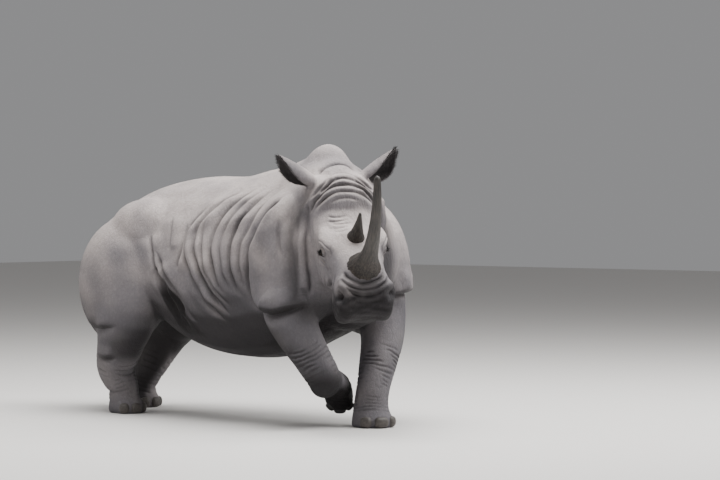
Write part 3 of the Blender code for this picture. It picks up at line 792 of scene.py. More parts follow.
        # the corners of the broad upper lip
        hide.swell((0.885, 0.120 * side - 0.015, -0.12), (0.040, 0.045, 0.06), 0.014, HEAD)
        hide.swell((0.910, 0.125 * side - 0.015, -0.19), (0.050, 0.045, 0.06), 0.024, HEAD)
    hide.swell((0.99, -0.015, -0.18), (0.05, 0.10, 0.08), -0.014, HEAD)


def neck_folds(hide):
    """Two soft folds down each side of the neck, behind the jaw."""
    for chart in (LEFT_SIDE, RIGHT_SIDE):
        hide.fold([(0.74, 1.36), (0.77, 1.22), (0.785, 1.08), (0.795, 0.96), (0.80, 0.84)],
                  0.012, 0.006, 0.006, 0.006, 0.04, 0.3, chart)
        hide.fold([(0.80, 1.30), (0.82, 1.18), (0.83, 1.05), (0.835, 0.92)],
                  0.008, 0.005, 0.004, 0.004, 0.03, 0.3, chart)


def sculpted(hide):
    """Adds muscles, folds and wrinkles to the hide, and tells how much painted shade each point's
    fold gets.
    """
    relief = Relief(hide)
    muscles(relief)
    flank_folds(relief)
    limb_folds(relief)
    neck_folds(relief)
    head_folds(relief)
    rise = np.where(relief.rise < 0, DEEPEST * np.tanh(relief.rise / DEEPEST), relief.rise)
    relief.moved = relief.points + relief.normals * rise[:, None]
    relief.moved[:, 2] = np.maximum(relief.moved[:, 2], 0.0)
    put(hide.data, relief.moved)
    return relief


def finer(hide, inside):
    """Halves the grain of the hide where inside(points) is true."""
    bm = bmesh.new()
    bm.from_mesh(hide.data)
    chosen = set(np.flatnonzero(inside(places(hide.data))).tolist())
    edges = [edge for edge in bm.edges
             if edge.verts[0].index in chosen and edge.verts[1].index in chosen]
    bmesh.ops.subdivide_edges(bm, edges=edges, cuts=1, use_grid_fill=True)
    bm.to_mesh(hide.data)
    bm.free()


def on_face(points):
    """The front of the head with the eyes, nostrils and lips."""
    head = in_frame(points, HEAD)
    return (head[:, 0] > -0.12) & (head[:, 0] < 1.05) & (head[:, 2] > -0.42)


def eye_frame(side):
    """An eye's own frame: +X to the lips, +Y to the forehead, +Z out of the eye."""
    out = Vector((0.10, side, 0.62)).normalized()
    ahead = Vector((1, 0, 0))
    ahead = (ahead - out * ahead.dot(out)).normalized()
    up = out.cross(ahead) * (1 if side > 0 else -1)
    x, y, z = EYE_PLACE
    turn = Matrix((ahead, up, out)).transposed().to_4x4()
    return HEAD @ Matrix.Translation((x, y * side, z)) @ turn


LID_RADIUS = EYE_RADIUS + 0.0035
EYE_SLIT, UPPER_LID, LOWER_LID = 0.0235, 0.0145, 0.0105    # half its length, and its height
LID_BULGE, LID_END = 0.020, 0.044     # the lids follow the globe up to here, then fade out
LID_ZONE, LID_DEPTH = 0.065, 0.090    # points further off than this are left alone
LID_EDGES = ((0.006, 1.0), (0.030, 1.15))     # how deep the lid turns in, and how much wider


def lid_edge(along, upper):
    """How far the lid's edge stands from the middle of the slit."""
    height = np.where(upper, UPPER_LID, LOWER_LID)
    return height * np.clip(1 - (along / EYE_SLIT) ** 2, 0, 1) ** 0.8


def open_eye(hide, side):
    """Bulges the lids over the eyeball and cuts the slit between them."""
    frame = eye_frame(side)
    bm = bmesh.new()
    bm.from_mesh(hide.data)
    middle = frame.translation
    for reach in (0.075, 0.045):
        edges = [edge for edge in bm.edges
                 if all((vert.co - middle).length < reach for vert in edge.verts)]
        bmesh.ops.subdivide_edges(bm, edges=edges, cuts=1, use_grid_fill=True)
    inverse = frame.inverted()
    slit = []
    for vert in bm.verts:
        place = inverse @ vert.co
        away = math.hypot(place.x, place.y * 1.15)
        if away > LID_ZONE or abs(place.z) > LID_DEPTH:
            continue
        lid = math.sqrt(max(LID_RADIUS ** 2 - away * away, 0.0))
        share = float(ramp(away, LID_BULGE, LID_END))
        place.z = lid * (1 - share) + place.z * share
        edge = float(lid_edge(place.x, place.y > 0))
        if abs(place.y) < edge * 0.9 and abs(place.x) < EYE_SLIT:
            slit.append(vert)
        vert.co = frame @ place
    bmesh.ops.delete(bm, geom=slit, context='VERTS')
    rim = [edge for edge in bm.edges if edge.is_boundary]
    for vert in {vert for edge in rim for vert in edge.verts}:
        place = inverse @ vert.co
        place.x = max(-EYE_SLIT, min(EYE_SLIT, place.x))
        place.y = math.copysign(float(lid_edge(place.x, place.y > 0)), place.y)
        place.z = math.sqrt(LID_RADIUS ** 2 - place.x ** 2 - place.y ** 2)
        vert.co = frame @ place
    for depth, spread in LID_EDGES:
        wall = bmesh.ops.extrude_edge_only(bm, edges=rim)['geom']
        rim = [part for part in wall if isinstance(part, bmesh.types.BMEdge)]
        for vert in [part for part in wall if isinstance(part, bmesh.types.BMVert)]:
            place = inverse @ vert.co
            place = Vector((place.x * spread, place.y * spread, place.z - depth))
            vert.co = frame @ place
    bmesh.ops.holes_fill(bm, edges=rim, sides=0)
    bmesh.ops.recalc_face_normals(bm, faces=bm.faces)
    bm.to_mesh(hide.data)
    bm.free()


def write(mesh, name, values):
    """Keeps a number or a direction for every point of the mesh, for its nodes to read."""
    values = np.asarray(values, np.float32)
    kind, field = ('FLOAT', 'value') if values.ndim == 1 else ('FLOAT_VECTOR', 'vector')
    mesh.attributes.new(name, kind, 'POINT').data.foreach_set(field, values.ravel())


def ear_inside(head, points, normals):
    """How far each point is inside the cup of an ear."""
    turn = np.array(HEAD.to_3x3())
    found = np.zeros(len(points))
    for side in (1, -1):
        root, axis, *_ = (np.array(line) for line in ear_lines(side))
        share = np.clip((head - root) @ axis / EAR_LENGTH, 0, 1)
        sag = np.interp(share, EAR_COURSE[:, 0], EAR_COURSE[:, 3])
        middle = root + share[:, None] * axis * EAR_LENGTH
        middle += sag[:, None] * np.array(ear_sag(side))
        spoke = head - middle
        away = np.linalg.norm(spoke, axis=1)
        facing = np.einsum('ij,ij->i', spoke / np.maximum(away, 1e-6)[:, None], normals @ turn)
        inside = ramp(facing, 0.1, -0.4) * ramp(away, 0.10, 0.085) * ramp(share, 0.10, 0.22)
        found = np.maximum(found, inside)
    return found


def eye_rims(points):
    """The dark bare edges of the eyelids."""
    found = np.zeros(len(points))
    for side in (1, -1):
        place = in_frame(points, eye_frame(side))
        edge = lid_edge(place[:, 0], place[:, 1] > 0) + 0.004
        inside = (np.abs(place[:, 1]) < edge) & (np.abs(place[:, 0]) < EYE_SLIT + 0.004)
        found = np.maximum(found, inside & (np.abs(place[:, 2]) < 0.06))
    return found


def face_shades(points, head):
    """A darker muzzle, and painted shade in the nostrils and under the throat."""
    muzzle = ramp(head[:, 0] - 0.5 * head[:, 2] + 0.02 * uneven(points, 0.08, 8), 0.75, 0.92)
    muzzle *= ramp(head[:, 2], -0.55, -0.45) * (0.95 + 0.08 * uneven(points, 0.05, 9))
    nostrils = np.zeros(len(points))
    for side in (1, -1):
        offset = (head - nostril(side)) / (0.034, 0.040, 0.026)
        nostrils = np.maximum(nostrils, np.exp(-(offset ** 2).sum(axis=1)))
    above_jaw = head[:, 2] - np.interp(head[:, 0], *np.transpose(JAW_LINE))
    throat = ramp(points[:, 0], 0.70, 0.84) * ramp(above_jaw, -0.01, -0.05)
    throat *= ramp(points[:, 2], 1.40, 1.25) * ramp(points[:, 1], 0.20, 0.05)
    throat *= ramp(points[:, 2], 0.60, 0.75)
    return muzzle, nostrils, 0.75 * throat


def under_shades(points, normals):
    """Painted shade under the belly, in the groin, on the inner sides of the hind legs and under
    the chest.
    """
    x, y, z = points.T
    up = normals[:, 2]
    belly = ramp(up, -0.05, -0.6) * ramp(z, 1.0, 0.75) * ramp(z, 0.3, 0.4)
    drop = 0.90 - z                               # below the top of the groin's hollow
    beside = np.abs(x + 0.38 - 0.52 * drop) - 0.04 - 0.25 * np.clip(drop, 0, 0.3)
    groin = ramp(beside, 0.02, -0.02) * ramp(drop, 0.0, 0.12) * ramp(drop, 0.48, 0.34)
    inner = ramp(-np.sign(y) * normals[:, 1], 0.0, 0.6) * ramp(z, 0.95, 0.75) * ramp(x, -0.5, -0.7)
    chest = (ramp(up, 0.25, -0.10) * ramp(z, 0.84, 0.70) * ramp(np.abs(y + 0.06), 0.28, 0.16)
             * ramp(x, 0.1, 0.3) * ramp(z, 0.36, 0.50))
    return 0.85 * belly, groin, 0.8 * inner, 0.95 * chest


PLANTED_FOOT = (0.94, 0.10)    # where the left forefoot stands
TO_THE_WRIST = (-0.57, -0.82)  # the way from the planted foot to the lifted wrist


def lifted_foot_shade(points):
    """Painted shade on the lifted foot, up to its wrist, but not on the foot it passes."""
    lifted = in_frame(points, FORE_RIGHT_TOES['frame'])
    away = np.linalg.norm(lifted - (0, 0, 0.05), axis=1)
    foot = ramp(away, 0.38, 0.24)
    foot *= ramp(np.hypot(*(points[:, :2] - PLANTED_FOOT).T) - away, -0.03, 0.04)
    toward = (points[:, :2] - PLANTED_FOOT) @ TO_THE_WRIST
    wrist = (ramp(toward, 0.19, 0.24) * ramp(points[:, 0], 0.5, 0.6)
             * ramp(points[:, 2], 0.42, 0.28))
    return np.maximum(foot, 0.9 * wrist)


def ear_shades(points, normals, head):
    """The backs of the ears are a little darker than the head; their insides get much darker
    painted shade.
    """
    back = ramp(np.abs(head[:, 1]), 0.19, 0.26) * ramp(head[:, 0], 0.10, 0.02)
    back *= ramp(head[:, 2], -0.12, -0.02)
    return 0.30 * back, 0.85 * ear_inside(head, points, normals)


def read_shades(hide, relief):
    """Painted shade in creases, mud with painted shade on the legs, dark places that are mostly
    painted shade, and pale dust with painted light on the back, for every point.
    """
    points, normals = places(hide.data), directions(hide.data)
    tree = kdtree.KDTree(len(relief.points))
    for index, point in enumerate(relief.moved):
        tree.insert(point, index)
    tree.balance()
    source = [tree.find(point)[1] for point in points]      # nearest before the thinning
    head = in_frame(points, HEAD)
    x, _, z = points.T
    up = normals[:, 2]
    # darker low on the body: mud, and painted shade where the hide faces down
    fore = ramp(x, -0.3, 0.3)
    low = ramp(z, 1.08 + 0.07 * fore, 0.58) * (0.7 + 0.3 * fore)
    mud_and_shade = low * (0.85 - 0.5 * up) + 0.2 * uneven(points, 0.3, 5)
    # a darker muzzle and dark lid edges; painted shade in the nostrils, under the throat and body,
    # in the groin, on the lifted foot and inside the ears
    dark_and_shade = np.maximum.reduce([
        *face_shades(points, head), *under_shades(points, normals), lifted_foot_shade(points),
        *ear_shades(points, normals, head), eye_rims(points)])
    # pale dust, and painted light on the surfaces that face up
    dust_and_top_light = (ramp(up, -0.2, 0.75) * ramp(z, 0.7, 1.2)
            - 0.5 * ramp(z, 1.50, 1.60) * ramp(x, 0.45, 0.6)
            + 0.35 * ramp(x, -0.75, -1.0) + 0.2 * uneven(points, 0.3, 6))
    # painted shade at the bottom of the folds
    write(hide.data, 'crease', relief.shade[source])
    for name, shade in (('mud_and_shade', mud_and_shade), ('dark_and_shade', dark_and_shade), ('dust_and_top_light', dust_and_top_light)):
        write(hide.data, name, np.clip(shade, 0, 1))


def settle(piece):
    """Moves a finished piece from the body's own frame to the model's, shaded smooth."""
    piece.data.transform(Matrix.Translation(SHIFT))
    piece.data.polygons.foreach_set('use_smooth', np.ones(len(piece.data.polygons), bool))


def linear(code):
    """An sRGB hex colour as linear numbers."""
    parts = [int(code[i:i + 2], 16) / 255 for i in (1, 3, 5)]
    return tuple(c / 12.92 if c <= 0.04045 else ((c + 0.055) / 1.055) ** 2.4
                 for c in parts) + (1.0,)


def add(tree, kind, inputs, **settings):
    """Adds a node with its settings; each input is a value or another node's socket."""
    node = tree.nodes.new(kind)
    for setting, value in settings.items():
        setattr(node, setting, value)
    for socket, value in inputs.items():
        if isinstance(value, bpy.types.NodeSocket):
            tree.links.new(value, node.inputs[socket])
        else:
            node.inputs[socket].default_value = value
    return node


def new_material(name):
    """A new material, with its nodes and the one that shades it."""
    material = bpy.data.materials.new(name)
    material.use_nodes = True
    return material, material.node_tree, material.node_tree.nodes['Principled BSDF']


def hide_material():
    """Bare rhinoceros hide, dry and dusty: dull, cracked into plates, with painted shade in its
    folds, underneath and in its hollows, and painted light on top.
    """
    material, tree, shader = new_material('dusty_rhinoceros_hide_painted_light')

    def value(kind, a, b):
        return add(tree, 'ShaderNodeMath', {0: a, 1: b}, operation=kind).outputs[0]

    def blend(share, low, high):
        return add(tree, 'ShaderNodeMix', {0: share, 6: low, 7: linear(high)},
                   data_type='RGBA').outputs[2]

    def stretched(vector, factors):
        return add(tree, 'ShaderNodeVectorMath', {0: vector, 1: factors},
                   operation='MULTIPLY').outputs[0]

    place = add(tree, 'ShaderNodeTexCoord', {}).outputs['Object']
    crease, mud_and_shade, dust_and_top_light, dark_and_shade = (
        add(tree, 'ShaderNodeAttribute', {}, attribute_name=name).outputs['Fac']
        for name in ('crease', 'mud_and_shade', 'dust_and_top_light', 'dark_and_shade'))

    def patches(size_mm):
        return add(tree, 'ShaderNodeTexNoise', {'Vector': place, 'Scale': 1000 / size_mm,
                                                'Detail': 3.0, 'Roughness': 0.55}).outputs['Fac']

    # the plates are bent out of line by up to a centimetre, and longer than they are wide
    warp = add(tree, 'ShaderNodeTexNoise', {'Vector': place, 'Scale': 1000 / 60, 'Detail': 2.0})
    bent = stretched(warp.outputs['Color'], (0.02, 0.02, 0.02))
    bent = add(tree, 'ShaderNodeVectorMath', {0: place, 1: bent}, operation='ADD').outputs[0]
    hung = stretched(bent, (1, 1, 0.5))

    def plates(size_mm, width):
        edge = add(tree, 'ShaderNodeTexVoronoi', {'Vector': hung, 'Scale': 1000 / size_mm},
                   feature='DISTANCE_TO_EDGE').outputs['Distance']
        return add(tree, 'ShaderNodeMapRange', {0: edge, 1: 0.0, 2: width, 3: 0.0, 4: 1.0},
                   interpolation_type='SMOOTHSTEP').outputs[0]

    coarse, fine = plates(26, 0.20), plates(10, 0.25)
    worn = add(tree, 'ShaderNodeMapRange', {0: patches(170), 1: 0.35, 2: 0.65}).outputs[0]
    grain = patches(5)
    # bare skin under pale dust and painted top light, with darker and lighter patches, then mud
    # with painted shade, and dark places that are mostly painted shade
    colour = blend(dust_and_top_light, linear('#747074'), '#c0b5b0')
    colour = blend(value('MULTIPLY', patches(110), 0.5), colour, '#5f5c5f')
    colour = blend(value('MULTIPLY', patches(24), 0.3), colour, '#b0a8a6')
    colour = blend(value('MULTIPLY', mud_and_shade, 0.78), colour, '#4b4a4f')
    colour = blend(dark_and_shade, colour, '#171517')
    # the cracks between plates are a little darker, and the folds take painted shade
    cracks = value('SUBTRACT', 1.0, value('MULTIPLY', coarse, fine))
    colour = blend(value('MULTIPLY', cracks, 0.14), colour, '#2b2728')
    colour = blend(value('MULTIPLY', crease, 0.55), colour, '#1d1a1a')
    tree.links.new(colour, shader.inputs['Base Color'])
    rough = add(tree, 'ShaderNodeMapRange', {0: grain, 1: 0.3, 2: 0.7, 3: 0.62, 4: 0.85})
    tree.links.new(rough.outputs[0], shader.inputs['Roughness'])
    shader.inputs['Specular IOR Level'].default_value = 0.22
    # the skin hangs in fine upright wrinkles, fewer where mud and painted shade lie
    fall = stretched(bent, (1, 1, 0.2))
    drape = add(tree, 'ShaderNodeTexNoise', {'Vector': fall, 'Scale': 1000 / 32,
                                             'Detail': 3.0}).outputs['Fac']
    drape = value('MULTIPLY', drape, value('SUBTRACT', 6.0, value('MULTIPLY', mud_and_shade, 5.0)))
    height = value('MULTIPLY', coarse, value('ADD', 0.25, value('MULTIPLY', worn, 0.6)))
    height = value('ADD', height, value('MULTIPLY', fine, 0.5))
    height = value('ADD', height, drape)
    height = value('ADD', height, value('MULTIPLY', grain, 0.6))
    bump = add(tree, 'ShaderNodeBump', {'Height': height, 'Strength': 0.7, 'Distance': 0.002})
    tree.links.new(bump.outputs[0], shader.inputs['Normal'])
    return material


hide = grown_hide()
finer(hide, on_face)
relief = sculpted(hide)
apply(hide, 'DECIMATE', ratio=HIDE_TRIANGLES / sum(len(face.vertices) - 2
                                                   for face in hide.data.polygons))
for side in (1, -1):
    open_eye(hide, side)
read_shades(hide, relief)
hide.data.materials.append(hide_material())
settle(hide)
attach(hide, "root")
FLESH = ['trunk', 'neck', 'head', 'tail', 'ear_left', 'ear_right']      # the solids it covers
FLESH += [f'{end}_{part}_{side}' for end in ('fore', 'hind') for part in ('leg', 'foot')
          for side in ('left', 'right')]
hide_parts(*FLESH)

# ===========================================================================================
# Horns: two solid cones of keratin, the stuff of hooves, grown from the skin on the nose.
# Fibres run up them, frayed and brown at the foot and polished grey where they rub.
# ===========================================================================================
HORN_SIDES, HORN_RINGS = 72, 110
HORN_JOINTS = 9                # of the solid's middle line
HORN_BREADTH = 1.008           # across, for a depth of 1
HORN_TIP, TIP_ROUND = 0.96, 0.0405     # where the tip starts to round off, and over how much


def horn(name, foot, length, base, tip, boss, curve, lean):
    """A horn on the same line as its solid, with fibres, growth rings and a worn tip."""
    place, angle = Vector(foot), math.radians(lean)
    middle = []
    for _ in range(HORN_JOINTS):
        middle.append((*place, angle))
        place = place + Vector((math.sin(angle), 0, math.cos(angle))) * length / HORN_JOINTS
        angle -= math.radians(curve) / HORN_JOINTS
    middle = smooth_rows(middle, HORN_RINGS // (HORN_JOINTS - 1))
    bm = bmesh.new()
    rings, grain = [], []
    for k, (x, y, z, angle) in enumerate(middle):
        t = k / (len(middle) - 1)
        flare = boss * math.exp(-(t / 0.16) ** 2)
        radius = tip + (base - tip) * (flare + (1 - boss) * (1 - t) ** 1.1)
        if t > HORN_TIP:
            radius *= math.sqrt(max(1 - ((t - HORN_TIP) / TIP_ROUND) ** 2, 0.02))
        forward = Vector((math.cos(angle), 0, -math.sin(angle)))
        ring = []
        for j in range(HORN_SIDES):
            turn = math.tau * j / HORN_SIDES
            round_place = Vector((math.cos(turn), math.sin(turn), 0))
            fibre = noise.fractal(Vector((*round_place.xy * 9, t * 1.6)), 0.9, 2.2, 3)
            rib = noise.noise(Vector((*round_place.xy * 1.2, t * length * 60)))
            rough = 0.35 + 0.65 * math.exp(-t / 0.22)
            uneven_wall = 1 + rough * (0.055 * fibre + 0.030 * rib)
            spoke = forward * round_place.x * radius * uneven_wall
            spoke += Vector((0, round_place.y * radius * HORN_BREADTH * uneven_wall, 0))
            ring.append(bm.verts.new(HEAD @ (Vector((x, y, z)) + spoke)))
            grain.append((round_place.x * radius, round_place.y * radius, t * length))
        rings.append(ring)
    for below, above in zip(rings, rings[1:]):
        for j in range(HORN_SIDES):
            bm.faces.new((below[j - 1], below[j], above[j], above[j - 1]))
    bm.faces.new(rings[0][::-1])
    bm.faces.new(rings[-1])
    bmesh.ops.recalc_face_normals(bm, faces=bm.faces)
    piece = made(bm, name)
    write(piece.data, 'grain', grain)
    return piece


def horn_material():
    """Keratin of matted hairs: dull and fibrous at the foot, rubbed smooth further up."""
    material, tree, shader = new_material('rubbed_keratin_horn')

    def blend(share, low, high):
        return add(tree, 'ShaderNodeMix', {0: share, 6: low, 7: high},
                   data_type='RGBA').outputs[2]

    grain = add(tree, 'ShaderNodeAttribute', {}, attribute_name='grain').outputs['Vector']
    height = add(tree, 'ShaderNodeSeparateXYZ', {0: grain}).outputs['Z']
    stretched = add(tree, 'ShaderNodeVectorMath', {0: grain, 1: (1, 1, 0.06)},
                    operation='MULTIPLY').outputs[0]
    fibres = add(tree, 'ShaderNodeTexNoise', {'Vector': stretched, 'Scale': 1000 / 5,
                                              'Detail': 4.0}).outputs['Fac']
    patches = add(tree, 'ShaderNodeTexNoise', {'Vector': grain, 'Scale': 1000 / 60,
                                               'Detail': 4.0}).outputs['Fac']
    patches = add(tree, 'ShaderNodeMapRange', {0: patches, 1: 0.36, 2: 0.64}).outputs[0]
    up = add(tree, 'ShaderNodeMapRange', {0: height, 1: 0.06, 2: 0.30}).outputs[0]
    low = blend(patches, linear('#070505'), linear('#1f1611'))
    high = blend(patches, linear('#1c1a19'), linear('#2f2c2a'))
    body = blend(up, low, high)
    streak = add(tree, 'ShaderNodeMapRange', {0: fibres, 1: 0.42, 2: 0.66, 3: 0.0, 4: 0.45})
    colour = blend(streak.outputs[0], body, linear('#524942'))
    tree.links.new(colour, shader.inputs['Base Color'])
    rough = add(tree, 'ShaderNodeMapRange', {0: up, 3: 0.78, 4: 0.48})
    tree.links.new(rough.outputs[0], shader.inputs['Roughness'])
    bump = add(tree, 'ShaderNodeBump', {'Height': fibres, 'Strength': 0.9, 'Distance': 0.004})
    tree.links.new(bump.outputs[0], shader.inputs['Normal'])
    return material


keratin = horn_material()
for node, foot, *measures in (
        # length, radius of foot and tip, share that flares, bend and lean
        ('horn_front', (0.69, 0, -0.03), 0.785, 0.101, 0.019, 0.55, 66, 12),
        ('horn_rear', (0.465, 0, -0.04), 0.25, 0.066, 0.007, 0.20, 28, 4)):
    piece = horn(f'{node}_keratin', foot, *measures)
    piece.data.materials.append(keratin)
    settle(piece)
    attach(piece, "root")
    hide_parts(node)

# ===========================================================================================
# Eyes: small dark globes, wet, with a pupil that lies across. They sit deep in the lids.
# Each globe is one ball with a slightly proud cornea, held by the edges of the hide's lids.
# ===========================================================================================
CORNEA_RISE, CORNEA_RADIUS = 0.0025, 0.012
PUPIL_SQUEEZE = 0.8            # less than 1 draws the pupil out along the lids


def eye_material():
    """Wet cornea over a dark brown iris: near black and glossy, with a small highlight."""
    material, tree, shader = new_material('wet_brown_eye')
    off = add(tree, 'ShaderNodeAttribute', {}, attribute_name='off_axis').outputs['Fac']
    ring = add(tree, 'ShaderNodeValToRGB', {0: off})
    stops = ((0.00, '#030202'), (0.28, '#030202'), (0.34, '#1a0f09'), (0.56, '#24150c'),
             (0.64, '#0c0706'), (0.74, '#1f1713'), (1.00, '#2a211d'))
    band = ring.color_ramp.elements
    while len(band) < len(stops):
        band.new(1.0)
    for stop, (where, code) in zip(band, stops):
        stop.position = where
        stop.color = linear(code)
    tree.links.new(ring.outputs[0], shader.inputs['Base Color'])
    shader.inputs['Roughness'].default_value = 0.12
    shader.inputs['Specular IOR Level'].default_value = 0.15
    shader.inputs['Coat Weight'].default_value = 0.12
    shader.inputs['Coat Roughness'].default_value = 0.03
    return material


wet_eye = eye_material()
for node, side in (('eye_left', 1), ('eye_right', -1)):
    bm = bmesh.new()
    bmesh.ops.create_uvsphere(bm, u_segments=40, v_segments=28, radius=EYE_RADIUS)
    off_axis = [math.hypot(vert.co.x * PUPIL_SQUEEZE, vert.co.y) / EYE_RADIUS
                if vert.co.z > 0 else 1.0 for vert in bm.verts]
    for vert in bm.verts:
        if vert.co.z > 0:
            aside = math.hypot(vert.co.x, vert.co.y)
            vert.co.z += CORNEA_RISE * math.exp(-(aside / CORNEA_RADIUS) ** 2)
    if side < 0:
        bmesh.ops.reverse_faces(bm, faces=bm.faces)
    bm.transform(eye_frame(side))
    piece = made(bm, f'{node}_globe')
    write(piece.data, 'off_axis', off_axis)
    piece.data.materials.append(wet_eye)
    settle(piece)
    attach(piece, "root")
    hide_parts(node)

# ===========================================================================================
# Nails: three broad plates of horn on each foot, worn blunt at the ground.
# Each is set in the skin of its toe and ridged down its front.
# ===========================================================================================
NAIL_HEIGHT = 0.034
NAIL_SQUARE = 3.0              # 2 is a ball; more squares it up
NAILS = (('right', -1, 0.58), ('middle', 0, 0.70), ('left', 1, 0.58))     # turn and width


def nail(name, frame, reach, size, width):
    """One nail: a shield that bulges forwards, with ridges and a ragged lower edge."""
    bm = bmesh.new()
    bmesh.ops.create_uvsphere(bm, u_segments=40, v_segments=28, radius=1.0)
    for vert in bm.verts:
        x, y, z = vert.co
        ridge = 0.025 * math.sin(y * 26) + 0.02 * noise.noise(Vector((y * 6, z * 2, size * 90)))
        square = sum(abs(part) ** NAIL_SQUARE for part in (y, z, x)) ** (-1 / NAIL_SQUARE)
        vert.co = Vector((x, y, z)) * square ** 0.75 * (1 + ridge * 0.6)
        vert.co.x *= size * 0.5
        vert.co.y *= size * width
        vert.co.z *= NAIL_HEIGHT
        vert.co += Vector((reach + size * 0.53, 0, NAIL_HEIGHT + 0.002))
    bm.transform(frame)
    for vert in bm.verts:
        vert.co.z = max(vert.co.z, 0.0)
    return made(bm, name)


def nail_material(name, low, high):
    """Dry horn of a nail between two colours: ridged, and dull with dust; darker colours give a
    copy in painted shade.
    """
    material, tree, shader = new_material(name)
    place = add(tree, 'ShaderNodeTexCoord', {}).outputs['Object']
    spots = add(tree, 'ShaderNodeTexNoise', {'Vector': place, 'Scale': 1000 / 14,
                                             'Detail': 5.0}).outputs['Fac']
    colour = add(tree, 'ShaderNodeMix', {0: spots, 6: linear(low), 7: linear(high)},
                 data_type='RGBA').outputs[2]
    tree.links.new(colour, shader.inputs['Base Color'])
    shader.inputs['Roughness'].default_value = 0.55
    bump = add(tree, 'ShaderNodeBump', {'Height': spots, 'Strength': 0.5, 'Distance': 0.002})
    tree.links.new(bump.outputs[0], shader.inputs['Normal'])
    return material


dry_horn = nail_material('dusty_nail_horn', '#2b2827', '#605a55')
# the same horn in painted shade, for the nails of the lifted foot
shaded_horn = nail_material('shaded_nail_horn', '#0f0d0d', '#242120')
for foot, toe_row in (('fore_foot_left', FORE_LEFT_TOES), ('fore_foot_right', FORE_RIGHT_TOES),
                      ('hind_foot_left', HIND_LEFT_TOES), ('hind_foot_right', HIND_RIGHT_TOES)):
    for label, turn, width in NAILS:
        toe = toe_row['frame'] @ Matrix.Rotation(math.radians(turn * toe_row['spread']), 4, 'Z')
        piece = nail(f'{foot}_{label}_plate', toe, toe_row['reach'], toe_row['size'], width)
        piece.data.materials.append(shaded_horn if foot == 'fore_foot_right' else dry_horn)
        settle(piece)
        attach(piece, "root")
        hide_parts(f'{foot}_nail_{label}')

# ===========================================================================================
# Hair: a fringe round the ears, lashes on the upper lids and bristles on the tail's tip.
# The real hairs are stiff, black and few. Each grows from the skin and tapers to a point.
# ===========================================================================================
HAIR_SIDES, HAIR_JOINTS = 4, 4
EAR_HAIRS, LASHES, TAIL_HAIRS = 620, 60, 520
LASH_LENGTH = 0.019
TAIL_END, TAIL_HALF = Vector((-1.385, 0, 0)), 0.03
TUFT_PATCH = 0.003             # how much of the skin's unwrap one hair takes up
CHANCE = np.random.default_rng(41)


def bristle_material():
    """Coarse black-brown hair: dry, with only a faint shine along it."""
    material, tree, shader = new_material('coarse_black_bristle')
    place = add(tree, 'ShaderNodeTexCoord', {}).outputs['Object']
    patches = add(tree, 'ShaderNodeTexNoise', {'Vector': place, 'Scale': 1000 / 12}).outputs['Fac']
    colour = add(tree, 'ShaderNodeMix', {0: patches, 6: linear('#0e0c0c'), 7: linear('#2e2a29')},
                 data_type='RGBA').outputs[2]
    tree.links.new(colour, shader.inputs['Base Color'])
    shader.inputs['Roughness'].default_value = 0.6
    shader.inputs['Specular IOR Level'].default_value = 0.3
    return material


def bristle_tree(material):
    """Nodes that set a bent, tapering hair on every root, along its lean, as solid mesh."""
    tree = bpy.data.node_groups.new('bristles', 'GeometryNodeTree')
    for name, kind in (('Roots', 'Geometry'), ('Thickness', 'Float'), ('Bend', 'Float'),
                       ('Shortest', 'Float'), ('Seed', 'Int')):
        tree.interface.new_socket(name, in_out='INPUT', socket_type=f'NodeSocket{kind}')
    tree.interface.new_socket('Hair', in_out='OUTPUT', socket_type='NodeSocketGeometry')
    given = tree.nodes.new('NodeGroupInput').outputs

    def value(kind, a, b):
        return add(tree, 'ShaderNodeMath', {0: a, 1: b}, operation=kind).outputs[0]

    # one hair, a unit long, curled to one side by the square of its height
    tip = value('MULTIPLY', given['Thickness'], 0.15)
    cone = add(tree, 'GeometryNodeMeshCone', {
        'Vertices': HAIR_SIDES, 'Side Segments': HAIR_JOINTS, 'Radius Top': tip,
        'Radius Bottom': given['Thickness'], 'Depth': 1.0}).outputs['Mesh']
    place = tree.nodes.new('GeometryNodeInputPosition').outputs[0]
    height = add(tree, 'ShaderNodeSeparateXYZ', {0: place}).outputs['Z']
    bent = value('MULTIPLY', value('MULTIPLY', height, height), given['Bend'])
    shift = add(tree, 'ShaderNodeCombineXYZ', {'X': bent}).outputs[0]
    hair = add(tree, 'GeometryNodeSetPosition', {'Geometry': cone, 'Offset': shift}).outputs[0]
    # each hair is turned to its lean, spun by chance and cut to its own length
    lean = add(tree, 'GeometryNodeInputNamedAttribute', {'Name': 'lean'},
               data_type='FLOAT_VECTOR').outputs['Attribute']
    long = add(tree, 'GeometryNodeInputNamedAttribute', {'Name': 'long'},
               data_type='FLOAT').outputs['Attribute']
    spin = add(tree, 'FunctionNodeRandomValue', {2: 0.0, 3: math.tau, 8: given['Seed']},
               data_type='FLOAT').outputs[1]
    cut = add(tree, 'FunctionNodeRandomValue', {2: given['Shortest'], 3: 1.0,
                                                8: value('ADD', given['Seed'], 1)},
              data_type='FLOAT').outputs[1]
    turn = add(tree, 'FunctionNodeAlignRotationToVector', {'Vector': lean}, axis='Z').outputs[0]
    spun = add(tree, 'FunctionNodeAxisAngleToRotation', {'Axis': (0, 0, 1), 'Angle': spin})
    turn = add(tree, 'FunctionNodeRotateRotation', {0: turn, 1: spun.outputs[0]},
               rotation_space='LOCAL').outputs[0]
    grown = add(tree, 'GeometryNodeInstanceOnPoints', {
        'Points': given['Roots'], 'Instance': hair, 'Rotation': turn,
        'Scale': value('MULTIPLY', long, cut)}).outputs[0]
    solid = add(tree, 'GeometryNodeRealizeInstances', {'Geometry': grown}).outputs[0]
    solid = add(tree, 'GeometryNodeSetMaterial', {'Geometry': solid, 'Material': material})
    out = tree.nodes.new('NodeGroupOutput')
    tree.links.new(solid.outputs[0], out.inputs[0])
    return tree


